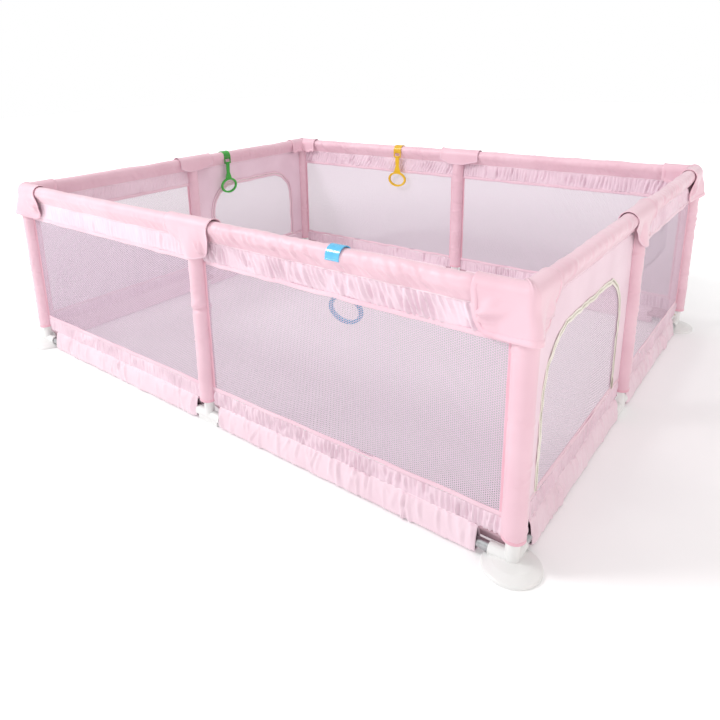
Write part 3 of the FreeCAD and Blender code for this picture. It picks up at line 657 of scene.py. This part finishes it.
def pull_line(du, dv, turn, width, spread, start, reach, size):
    """One crease that runs from a held point towards turn and widens as it goes."""
    run = du * math.cos(turn) + dv * math.sin(turn)
    across = (-du * math.sin(turn) + dv * math.cos(turn)) / (width + spread * np.clip(run, 0, 1))
    return (size * (1 - across ** 2) * np.exp(-across ** 2)
            * smoothstep(run, start, 0.006) * (1 - smoothstep(run, reach * 0.4, reach)))


def boundary_binding(name, points, width, thickness, material):
    """Tape along the whole edge of a surface of rows and columns."""
    rows, cols = points.shape[:2]
    ring = ([(0, j) for j in range(cols - 1)] + [(i, cols - 1) for i in range(rows - 1)]
            + [(rows - 1, j) for j in range(cols - 1, 0, -1)]
            + [(i, 0) for i in range(rows - 1, 0, -1)])
    normal = unit(np.cross(np.gradient(points, axis=0), np.gradient(points, axis=1)))
    path = np.array([points[i, j] for i, j in ring])
    out = np.array([normal[i, j] for i, j in ring])
    for _ in range(3):
        out = unit(out + np.roll(out, 1, axis=0) + np.roll(out, -1, axis=0))
    for _ in range(2):
        path = (np.roll(path, 1, axis=0) + 2 * path + np.roll(path, -1, axis=0)) / 4
    ahead = unit(np.roll(path, -1, axis=0) - np.roll(path, 1, axis=0))
    inward = unit(np.cross(out, ahead))
    middle = points[rows // 4, cols // 2]
    if ((middle - path[cols // 2]) @ inward[cols // 2]) < 0:
        inward = -inward
    return ride(edge_strip(name, path, inward, out, width, thickness, material, True))


def corner_cap(corner, seed):
    """A cloth saddle over both rails, open below, with rounded flaps outside and a short skirt
    inside."""
    at, degrees = CORNERS[corner]
    width = sum(CAP_ARMS)
    fraction = np.linspace(0, 1, 85)
    arm = np.minimum(fraction / ARM_ENDS[0], (1 - fraction) / ARM_ENDS[0])
    from_end = np.clip(arm, 0, 1) * CAP_ARMS[0]
    rounding = 0.036
    lift = rounding - np.sqrt(np.maximum(
        rounding ** 2 - np.maximum(rounding - from_end, 0) ** 2, 0))
    lift += 0.015 * smoothstep(arm, 0.45, 1.1)
    inner_drop = INNER_DROP - 0.3 * lift + 0.004 * np.sin(fraction * 19 + seed)
    n, z, down = saddle_rows(CAP_DROP - lift, inner_drop)
    share = down / CAP_DROP
    at_corner = smoothstep(arm[None, :] + 0 * n, 0.45, 1.15)
    n = n + share ** 1.3 * (at_corner * 0.022 - (1 - at_corner) * 0.013)
    along = fraction[None, :] * width + 0 * n
    end = np.minimum(along, width - along)
    draw = np.random.default_rng(seed)
    relief = np.zeros_like(n)
    for du in (along, width - along):
        for _ in range(6):
            turn = math.radians(draw.uniform(10, 80))
            start_u, start_v = 0.006 + draw.uniform(0, 0.006), 0.062 + draw.uniform(-0.008, 0.012)
            reach = draw.uniform(0.040, 0.080)
            relief += pull_line(du - start_u, start_v - down, turn, 0.0060, 0.11, -0.004, reach,
                                0.0050 * draw.uniform(0.5, 1.0))
    relief *= smoothstep(down, 0.004, 0.02)
    relief += 0.0024 * slow_waves(along, down, 0.06, seed + 5) * smoothstep(down, 0.0, 0.03)
    rows = np.arange(len(n))[:, None] + 0 * n
    inner_side = smoothstep(rows, FLAP_ROWS + ARC_ROWS - 1, len(n) - 1)
    relief += 0.0010 * np.exp(-end / 0.009)
    relief += 0.0016 * folds(along, z, 26, (0.04, 0.18), (-0.045, 0.0), 80, 14, 0.03, 0.006,
                             seed + 6) * inner_side
    n = n * (1 - 0.55 * share * np.exp(-end / 0.022))
    n, z, upwards = raised(n, z, relief)
    pinch = np.exp(-((fraction - 0.5) / 0.05) ** 2)[None, :]
    z = z + 0.0035 * pinch * np.maximum(upwards, 0) * (1 + 0.6 * np.sin(along * 900))
    x, y = corner_path(n, fraction[None, :] + 0 * n)
    turn = math.radians(degrees)
    points = np.stack([at[0] + x * math.cos(turn) - y * math.sin(turn),
                       at[1] + x * math.sin(turn) + y * math.cos(turn), RAIL_Z + z], axis=-1)
    piece = grid("corner_cap_" + corner, points, PINK)
    thicken(piece, 0.0012)
    ride(piece, "corner_caps")
    tape = boundary_binding("cap_binding_" + corner, points, 0.015, 0.0034, CAP_TRIM)


# --- wraps over the rail joints ---

def mid_wrap(side, seed, flap_r):
    """A T-shaped saddle: wide over the rail, narrowing to a rounded flap over the post."""
    left, right, flap_l = 0.112, 0.086, 0.036
    s = np.linspace(-left, right, 71)
    over = np.maximum(np.clip((-s - flap_l) / (left - flap_l), 0, 1),
                      np.clip((s - flap_r) / (right - flap_r), 0, 1))
    round_off = 0.010 * (smoothstep(-s, 0.012, flap_l) + smoothstep(s, 0.018, flap_r))
    hem_drop = WRAP_DROP - 0.072 * np.sqrt(over) - round_off * (over <= 0)
    hem_drop = np.convolve(np.pad(hem_drop, 3, mode="edge"), np.ones(7) / 7, mode="valid")
    n, z, down = saddle_rows(hem_drop, INNER_DROP - 0.020 * over)
    share = down / WRAP_DROP
    along = s[None, :] + 0 * n
    n = n + share ** 1.2 * 0.0065 - 0.013 * share * np.minimum((along / 0.038) ** 2, 1.6)
    draw = np.random.default_rng(seed)
    relief = np.zeros_like(n)
    for _ in range(5):
        turn = math.radians(draw.uniform(100, 150))
        du, dv = along - (right - 0.028 - draw.uniform(0, 0.01)), 0.078 - down
        reach = draw.uniform(0.035, 0.06)
        relief += pull_line(du, dv, turn, 0.004, 0.08, -0.006, reach,
                            0.0046 * draw.uniform(0.5, 1.0))
    relief *= smoothstep(down, 0.004, 0.02)
    relief += 0.0012 * slow_waves(along, down, 0.05, seed + 5) * smoothstep(down, 0.0, 0.03)
    relief += 0.0055 * np.exp(-(right - along) / 0.010) * smoothstep(down + 0.02, 0.0, 0.03)
    relief += 0.0012 * np.exp(-(along + left) / 0.008)
    n, z, _ = raised(n, z, relief)
    points = side.points(along, n, RAIL_Z + z)
    piece = grid("mid_wrap_" + side.name, points, PINK)
    thicken(piece, 0.0012)
    ride(piece, "mid_wraps")
    tape = boundary_binding("wrap_hem_" + side.name, points, 0.006, 0.0022, BINDING)


# --- doors ---

FLAP_TO_ZIP = 0.0086             # from the CAD flap's edge to the line where the zip closes
ARCH_RADIUS = 0.150
ARCH_LEG, ARCH_TURN, ARCH_TOP = 26, 22, 22      # points on a leg, a round corner and the top
ARCH_SEED = 61                   # the tapes and teeth of a zip wobble together


def door_measures(side):
    """Along the side: the door's middle and half width; then the heights of its foot and top."""
    low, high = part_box("door_flap_" + side.name)
    s_low, s_high = (low.y, high.y) if side is RIGHT else (-high.y, -low.y)
    return ((s_low + s_high) / 2, (s_high - s_low) / 2 + FLAP_TO_ZIP, low.z,
            high.z + FLAP_TO_ZIP)


def arch(side, inset=0.0):
    """The door's outline from its left foot over the top to its right foot: s, z and the
    direction away from the door."""
    middle, half, foot, top = door_measures(side)
    half, top, radius = half - inset, top - inset, ARCH_RADIUS - inset
    spring = top - radius
    leg = np.linspace(foot, spring, ARCH_LEG, endpoint=False)
    turn = np.linspace(math.pi, math.pi / 2, ARCH_TURN, endpoint=False)
    flat = np.linspace(-(half - radius), half - radius, ARCH_TOP)
    s = np.concatenate([np.full(ARCH_LEG, -half), -(half - radius) + radius * np.cos(turn), flat])
    z = np.concatenate([leg, spring + radius * np.sin(turn), np.full(ARCH_TOP, top)])
    out_s = np.concatenate([np.full(ARCH_LEG, -1.0), np.cos(turn), np.zeros(ARCH_TOP)])
    out_z = np.concatenate([np.zeros(ARCH_LEG), np.sin(turn), np.ones(ARCH_TOP)])
    mirror = slice(ARCH_LEG + ARCH_TURN - 1, None, -1)
    s = np.concatenate([s, -s[mirror]]) + middle
    z = np.concatenate([z, z[mirror]])
    out_s = np.concatenate([out_s, -out_s[mirror]])
    out_z = np.concatenate([out_z, out_z[mirror]])
    return s, z, np.stack([out_s, out_z], axis=-1)


def door_surround(side, seed):
    """The cloth between the arch and the edges of its half of the wall."""
    arch_s, arch_z, _ = arch(side)
    middle, half, foot, top = door_measures(side)
    low_s, high_s, high_z = -side.half + PANEL_END, -PANEL_END, SEAM_Z
    spring = top - ARCH_RADIUS
    turn = np.linspace(0, 2, ARCH_TURN, endpoint=False)
    up_turn, in_turn = np.clip(turn, 0, 1), np.clip(turn - 1, 0, 1)
    left_s = np.concatenate([np.full(ARCH_LEG, low_s),
                             low_s + in_turn * (middle - half + ARCH_RADIUS - low_s)])
    right_s = np.concatenate([np.full(ARCH_LEG, high_s),
                              high_s - in_turn * (high_s - middle - half + ARCH_RADIUS)])
    top_s = np.linspace(middle - half + ARCH_RADIUS, middle + half - ARCH_RADIUS, ARCH_TOP)
    side_z = np.concatenate([np.linspace(foot, spring, ARCH_LEG, endpoint=False),
                             spring + up_turn * (high_z - spring)])
    outer_s = np.concatenate([left_s, top_s, right_s[::-1]])
    outer_z = np.concatenate([side_z, np.full(ARCH_TOP, high_z), side_z[::-1]])
    share = np.linspace(0, 1, 12)[:, None]
    s = arch_s * (1 - share) + outer_s * share
    z = arch_z * (1 - share) + outer_z * share
    n = 0.0011 * folds(s, z, 46, (low_s, high_s), (0.15, 0.6), 88, 7, 0.10, 0.012, seed)
    n += 0.0016 * slow_waves(s, z, 0.18, seed + 1) * np.sin(math.pi * share)
    piece = grid("door_panel_" + side.name, side.points(s, n, z), PINK_THIN)
    thicken(piece, 0.0009)
    ride(piece, "door_surround_" + side.name)


def along_arch(side, start, clear, pitch):
    """Evenly spaced places along the arch from start until clear of its end: distance, s, z, the
    direction away from the door, and the zip's wobble in that direction."""
    s, z, out = arch(side)
    length = lengths(np.stack([s, z], axis=-1))
    steps = np.arange(start, length[-1] - clear, pitch)
    s, z = np.interp(steps, length, s), np.interp(steps, length, z)
    out = unit(np.stack([np.interp(steps, length, out[:, k]) for k in (0, 1)], axis=-1))
    return steps, s, z, out, 0.0020 * slow_waves(steps, 0, 0.07, ARCH_SEED)


def arch_tape(label, side, inner, outer, n, thickness, material, body="frame",
              replaces=None):
    """A tape that follows the arch between two distances outside the door's edge."""
    clear = 0.0 if body == "frame" else 0.010      # a door's tapes stop above the hinge line
    steps, s, z, out, wobble = along_arch(side, clear, clear, 0.006)
    pucker = 0.0012 * slow_waves(steps, 0, 0.035, ARCH_SEED + 1)
    s, z = s + out[:, 0] * wobble, z + out[:, 1] * wobble
    outward = np.stack([out[:, 0] * side.along[0], out[:, 0] * side.along[1], out[:, 1]], axis=-1)
    path = side.points(s, n + pucker, z) + outward * inner
    piece = edge_strip(label + side.name, path, outward, side.facing(len(steps)), outer - inner,
                       thickness, material)
    ride(piece, replaces, body)


BOX_CORNERS = [(a, b, c) for a in (-1, 1) for b in (-1, 1) for c in (-1, 1)]
BOX_FACES = [(0, 1, 3, 2), (4, 6, 7, 5), (0, 4, 5, 1), (2, 3, 7, 6), (0, 2, 6, 4), (1, 5, 7, 3)]


def zip_teeth(side):
    """Two rows of small teeth that mesh along the arch."""
    steps, s, z, out, wobble = along_arch(side, 0.002, 0.0, 0.0030)
    s, z = s + out[:, 0] * (wobble + 0.0005), z + out[:, 1] * (wobble + 0.0005)
    ahead = np.stack([-out[:, 1], out[:, 0]], axis=-1)
    verts, faces = [], []
    for k in range(len(steps)):
        shift = 0.0007 if k % 2 else -0.0007
        first = len(verts)
        for a, b, c in BOX_CORNERS:
            across = out[k] * (shift + a * 0.0013)
            forward = ahead[k] * b * 0.0010
            at = (s[k] + across[0] + forward[0], z[k] + across[1] + forward[1])
            verts.append(side.points(at[0], 0.0026 + c * 0.0009, at[1]))
        faces += [tuple(first + q for q in quad) for quad in BOX_FACES]
    piece = mesh_object("zip_teeth_" + side.name, np.array(verts), faces, TEETH, smooth=False)
    ride(piece)


def door(side, seed):
    """One doorway: the cloth round it, both halves of its zip, and the flap on its own body."""
    door_surround(side, seed)
    body = "door_" + side.name
    arch_tape("zip_tape_", side, 0.0012, 0.0085, 0.0016, 0.0022, CREAM,
              replaces="door_zip_" + side.name)
    arch_tape("zip_door_tape_", side, -0.0085, -0.0008, 0.0014, 0.0020, CREAM, body)
    arch_tape("arch_trim_", side, 0.0012, 0.011, -0.0032, 0.0028, BINDING)
    arch_tape("door_trim_", side, -0.013, -0.0012, -0.0028, 0.0026, BINDING, body)
    zip_teeth(side)
    s, z, _ = arch(side, 0.0075)
    middle, half, foot, top = door_measures(side)
    share = np.linspace(0, 1, 16)[:, None]
    column = middle + (s - middle) * 0.985
    s_grid = s * (1 - share) + column * share
    z_grid = z * (1 - share) + z[0] * share
    n = 0.0022 * slow_waves(s_grid, z_grid, 0.25, seed + 3) * np.sin(math.pi * share)
    flap = grid("door_net_" + side.name, side.points(s_grid, n, z_grid), DOOR_NET)
    ride(flap, "door_flap_" + side.name, body)
    hem_s = np.arange(middle - half + 0.008, middle + half - 0.008, 0.007)
    hem = edge_strip("door_hem_" + side.name, side.points(hem_s, 0.0, foot - 0.001),
                     upright(len(hem_s)), side.facing(len(hem_s)), 0.012, 0.0024, BINDING)
    ride(hem, body=body)


# --- storage pocket ---

def storage_pocket():
    """A thin net bag hung inside the right wall: a flat back and a front that bellies in."""
    low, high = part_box("storage_pocket")
    side = RIGHT
    s0, s1 = low.y + 0.002, high.y - 0.002
    mouth = high.z - 0.066
    foot = low.z + 0.004
    u, v = lattice(np.linspace(0, 1, 40), np.linspace(0, 1, 22))
    belly = np.sin(math.pi * u) ** 0.6
    depth = 0.019 * belly * (0.35 + 0.65 * np.sin(math.pi * np.clip(v, 0, 1)) ** 0.7)
    depth = depth * smoothstep(v, 0.0, 0.25)
    sag = 0.012 * np.sin(math.pi * u) * v
    z = foot + (mouth - low.z - 0.004) * v - sag * 0.6
    s = s0 + (s1 - s0) * u
    ripple = 0.0016 * folds(s, z, 40, (s0, s1), (low.z, mouth), 88, 10, 0.05, 0.008, 91)
    front = grid("pocket_front", side.points(s, -0.0035 - depth + ripple, z), POCKET_NET)
    ride(front, "storage_pocket")
    u, v = lattice(np.linspace(0, 1, 24), np.linspace(0, 1, 20))
    z = foot + (high.z - low.z - 0.008) * v
    n = -0.0030 - 0.0006 * slow_waves(u * 0.3, z, 0.1, 92)
    back = grid("pocket_back", side.points(s0 + (s1 - s0) * u, n, z), POCKET_NET)
    ride(back)
    seam_s = np.arange(s0, s1, 0.006)
    seam_z = low.z + 0.006 + 0.010 * np.cos(math.pi * (seam_s - s0) / (s1 - s0)) ** 2
    seam = edge_strip("pocket_seam", side.points(seam_s, -0.0050, seam_z), upright(len(seam_s)),
                      -side.facing(len(seam_s)), 0.006, 0.0016, POCKET_TRIM)
    ride(seam)
    turn = np.linspace(0, 1, 26)
    loop_s = s1 - 0.004 - 0.085 * turn ** 1.6
    loop_z = high.z - 0.014 - 0.085 * np.sin(turn * math.pi / 2) ** 0.8
    path = side.points(loop_s, -0.0055, loop_z)
    inside = -side.facing(len(turn))
    across = np.cross(inside, unit(np.gradient(path, axis=0)))
    loop = edge_strip("pocket_loop", path, across, inside, 0.013, 0.0016, POCKET_TRIM)
    ride(loop)


# --- rings ---

def dress(piece, material):
    piece.data.materials.clear()
    piece.data.materials.append(material)


def dress_rings():
    """Two materials for each colour: a glossy clip and a satin pull ring."""
    for colour, (clip_low, clip_high, ring_low, ring_high) in RING_COLOURS.items():
        gloss = plastic(colour + "_clip_plastic", clip_low, clip_high, 0.25, 400.0, 0.4)
        satin = plastic(colour + "_silicone", ring_low, ring_high, 0.42, 700.0)
        for node, material in (("ring_clip_" + colour, gloss), ("pull_ring_" + colour, satin)):
            piece = frame["nodes"][node]
            dress(piece, material)
            soften(piece, 0.0011, 3, 35)


def dress_nodes():
    """Materials for the CAD nodes that stay in view."""
    kinds = (("tubes", STEEL), ("socket", WHITE), ("foot_screws", ZIP_METAL), ("foot", WHITE),
             ("slider", ZIP_METAL), ("suction", RUBBER))
    for name, piece in frame["nodes"].items():
        for word, material in kinds:
            if word in name:
                dress(piece, material)
                break
        if "_foot_" in name:
            soften(piece, 0.0016, 3, 30)


# --- building it ---

FOLD_STRENGTH = {
    ("front", "a"): 0.35, ("front", "b"): 1.35, ("right", "a"): 0.7, ("right", "b"): 1.1,
    ("back", "a"): 0.9, ("back", "b"): 0.9, ("left", "a"): 0.7, ("left", "b"): 0.4}
RAIL_END, RAIL_GAP = 0.030, 0.004       # a rail cover stops short of a corner and of the middle
SKIRT_CORNER, SKIRT_MIDDLE = 0.054, 0.052
FLAP_OVERLAP = 0.02
BINDING_STEP = 0.003             # the tape beside a post starts this far from the panel's end


def wall_half(side, half, start, end, seed):
    """Everything sewn to one half of a side, from rail cover to skirt."""
    strength = FOLD_STRENGTH[side.name, half]
    label = "%s_%s" % (side.name, half)
    rail_cover(side, half, start, end, strength, seed)
    low_s = (-side.half if half == "a" else 0.0) + PANEL_END
    high_s = (0.0 if half == "a" else side.half) - PANEL_END
    piping(side, half, low_s, high_s, SEAM_Z, 0.0, 0.0021, seed + 9, THREAD, "rail_piping")
    if side not in DOOR_SIDES or half != "a":
        gathered_band("upper_band_" + label, side, low_s, high_s, BAND_LOW, SEAM_Z - 0.001,
                      114 if half == "b" else 98, strength, seed + 10)
        level_binding("upper_binding_" + label, side, low_s, high_s, BAND_LOW + 0.001, 0.014,
                      seed + 14)
        net_panel("net_wall_" + label, side, low_s, high_s, NET_LOW - 0.002, NET_HIGH + 0.003,
                  seed + 16)
        for where, s, direction in (("low", low_s + BINDING_STEP, 1),
                                    ("high", high_s - BINDING_STEP, -1)):
            upright_binding("post_edge_%s_%s" % (label, where), side, s, LOW_BAND_TOP,
                            BAND_LOW, 0.009, direction)
    gathered_band("lower_band_" + label, side, low_s, high_s, SKIRT_TOP, LOW_BAND_TOP + 0.001,
                  89, 0.55 + 0.4 * strength, seed + 20, 0.0125)
    level_binding("lower_binding_" + label, side, low_s, high_s, NET_LOW + 0.001, 0.013,
                  seed + 24)
    skirt_low = start + SKIRT_CORNER if half == "a" else SKIRT_MIDDLE
    skirt_high = -SKIRT_MIDDLE if half == "a" else end - SKIRT_CORNER
    skirt(side, half, skirt_low, skirt_high, seed + 30)
    piping(side, half, skirt_low, skirt_high, SKIRT_TOP, 0.0, 0.0016, seed + 34, THREAD,
           "skirt_piping")
    inner_flap(side, "inner_flap_%s_low" % label, low_s, skirt_low + FLAP_OVERLAP, seed + 36)
    inner_flap(side, "inner_flap_%s_high" % label, skirt_high - FLAP_OVERLAP, high_s,
               seed + 37)


for number, side in enumerate(SIDES):
    wall_half(side, "a", -side.half + RAIL_END, -RAIL_GAP, 100 * number)
    wall_half(side, "b", RAIL_GAP, side.half - RAIL_END, 100 * number + 50)
    elbow, flap_r = (0.40, 0.064) if side is FRONT else (0.0, 0.038)
    post_cover("mid_post_cover_" + side.name, side.centre, "mid_post_padding",
               math.atan2(side.out[1], side.out[0]), 46, 700 + number, elbow, 0.002)
    mid_wrap(side, 800 + number, flap_r)

POST_WRINKLES = {"front_right": 14, "back_right": 90, "back_left": 60, "front_left": 60}
for number, (corner, (at, _)) in enumerate(CORNERS.items()):
    diagonal = math.atan2(math.copysign(1, at[1]), math.copysign(1, at[0]))
    post_cover("corner_post_cover_" + corner, at, "corner_post_padding", diagonal,
               POST_WRINKLES[corner], 600 + number)
    corner_cap(corner, 900 + 10 * number)

for number, side in enumerate(DOOR_SIDES):
    door(side, 1000 + 50 * number)
storage_pocket()
for side in SIDES:
    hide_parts("wall_" + side.name)
dress_rings()
dress_nodes()


# --- floor, light, camera ---

def floor():
    """A pale ground that glows more strongly away from the playpen, until it meets the white
    surround; the glow is painted light.
    """
    size, level = 14.0, -0.0005
    material, tree, shader = nodes_of("pale_floor")
    place = object_place(tree)
    tree.links.new(two_tone(tree, noise(tree, place, 3.0), (0.89, 0.89, 0.89), (0.91, 0.91, 0.91)),
                   shader.inputs["Base Color"])
    put(shader, Roughness=0.6, Specular_IOR_Level=0.1, Emission_Color=(1, 1, 1, 1))
    length = tree.nodes.new("ShaderNodeVectorMath")
    length.operation = "LENGTH"
    tree.links.new(place, length.inputs[0])
    # painted light: emission strength rises from 0.09 near the playpen to 0.6 far away
    far = ranged(tree, length.outputs["Value"], 0.09, 0.60, 1.3, 3.4, smooth=True)
    tree.links.new(far, shader.inputs["Emission Strength"])
    corners = [(-size, -size, level), (size, -size, level), (size, size, level),
               (-size, size, level)]
    mesh_object("floor", corners, [(0, 1, 2, 3)], material, False)


def area_light(name, at, target, size, power, colour=(1, 1, 1)):
    data = bpy.data.lights.new(name, "AREA")
    data.shape, data.size, data.energy, data.color = "DISK", size, power, colour
    light = bpy.data.objects.new(name, data)
    light.location = at
    light.rotation_euler = (Vector(target) - Vector(at)).to_track_quat("-Z", "Y").to_euler()
    bpy.context.scene.collection.objects.link(light)


floor()
area_light("key", (-3.1, -3.7, 4.3), (0, 0, 0.3), 1.5, 165)
area_light("top", (0.6, 0.8, 5.0), (0, 0, 0.2), 3.5, 30)
area_light("warm_fill", (4.6, -0.6, 1.6), (0.6, -0.2, 0.3), 2.0, 22, (1.0, 0.80, 0.72))

world = bpy.data.worlds.new("studio")
world.use_nodes = True
sky = world.node_tree
away = sky.nodes.new("ShaderNodeTexCoord").outputs["Generated"]
split = sky.nodes.new("ShaderNodeSeparateXYZ")
sky.links.new(away, split.inputs[0])
turned = maths(sky, "ADD", maths(sky, "MULTIPLY", split.outputs[0], -0.45),
               maths(sky, "MULTIPLY", split.outputs[1], -0.89))
glow = ranged(sky, turned, 0.62, 0.90, -1.0, 1.0)
seen = sky.nodes.new("ShaderNodeLightPath").outputs["Is Camera Ray"]
background = sky.nodes["Background"]
sky.links.new(maths(sky, "MAXIMUM", glow, seen), background.inputs["Strength"])
put(background, Color=(1, 1, 1, 1))
bpy.context.scene.world = world
bpy.context.scene.view_settings.view_transform = "Standard"

CAMERA_AT = Vector((1.4588, -1.9994, 1.1127))
YAW, PITCH, ROLL = (math.radians(a) for a in (-39.503, -15.894, -1.576))
ahead = Vector((math.sin(YAW) * math.cos(PITCH), math.cos(YAW) * math.cos(PITCH), math.sin(PITCH)))
level_right = ahead.cross(Vector((0, 0, 1))).normalized()
level_up = level_right.cross(ahead)
right = level_right * math.cos(ROLL) + level_up * math.sin(ROLL)
up = level_up * math.cos(ROLL) - level_right * math.sin(ROLL)
camera_data = bpy.data.cameras.new("camera")
camera_data.sensor_width = 36.0
camera_data.lens = 31.788
camera_data.shift_x, camera_data.shift_y = 0.0504, -0.1631
camera = bpy.data.objects.new("camera", camera_data)
camera.matrix_world = Matrix((
    (right.x, up.x, -ahead.x, CAMERA_AT.x),
    (right.y, up.y, -ahead.y, CAMERA_AT.y),
    (right.z, up.z, -ahead.z, CAMERA_AT.z),
    (0, 0, 0, 1)))
bpy.context.scene.collection.objects.link(camera)
bpy.context.scene.camera = camera
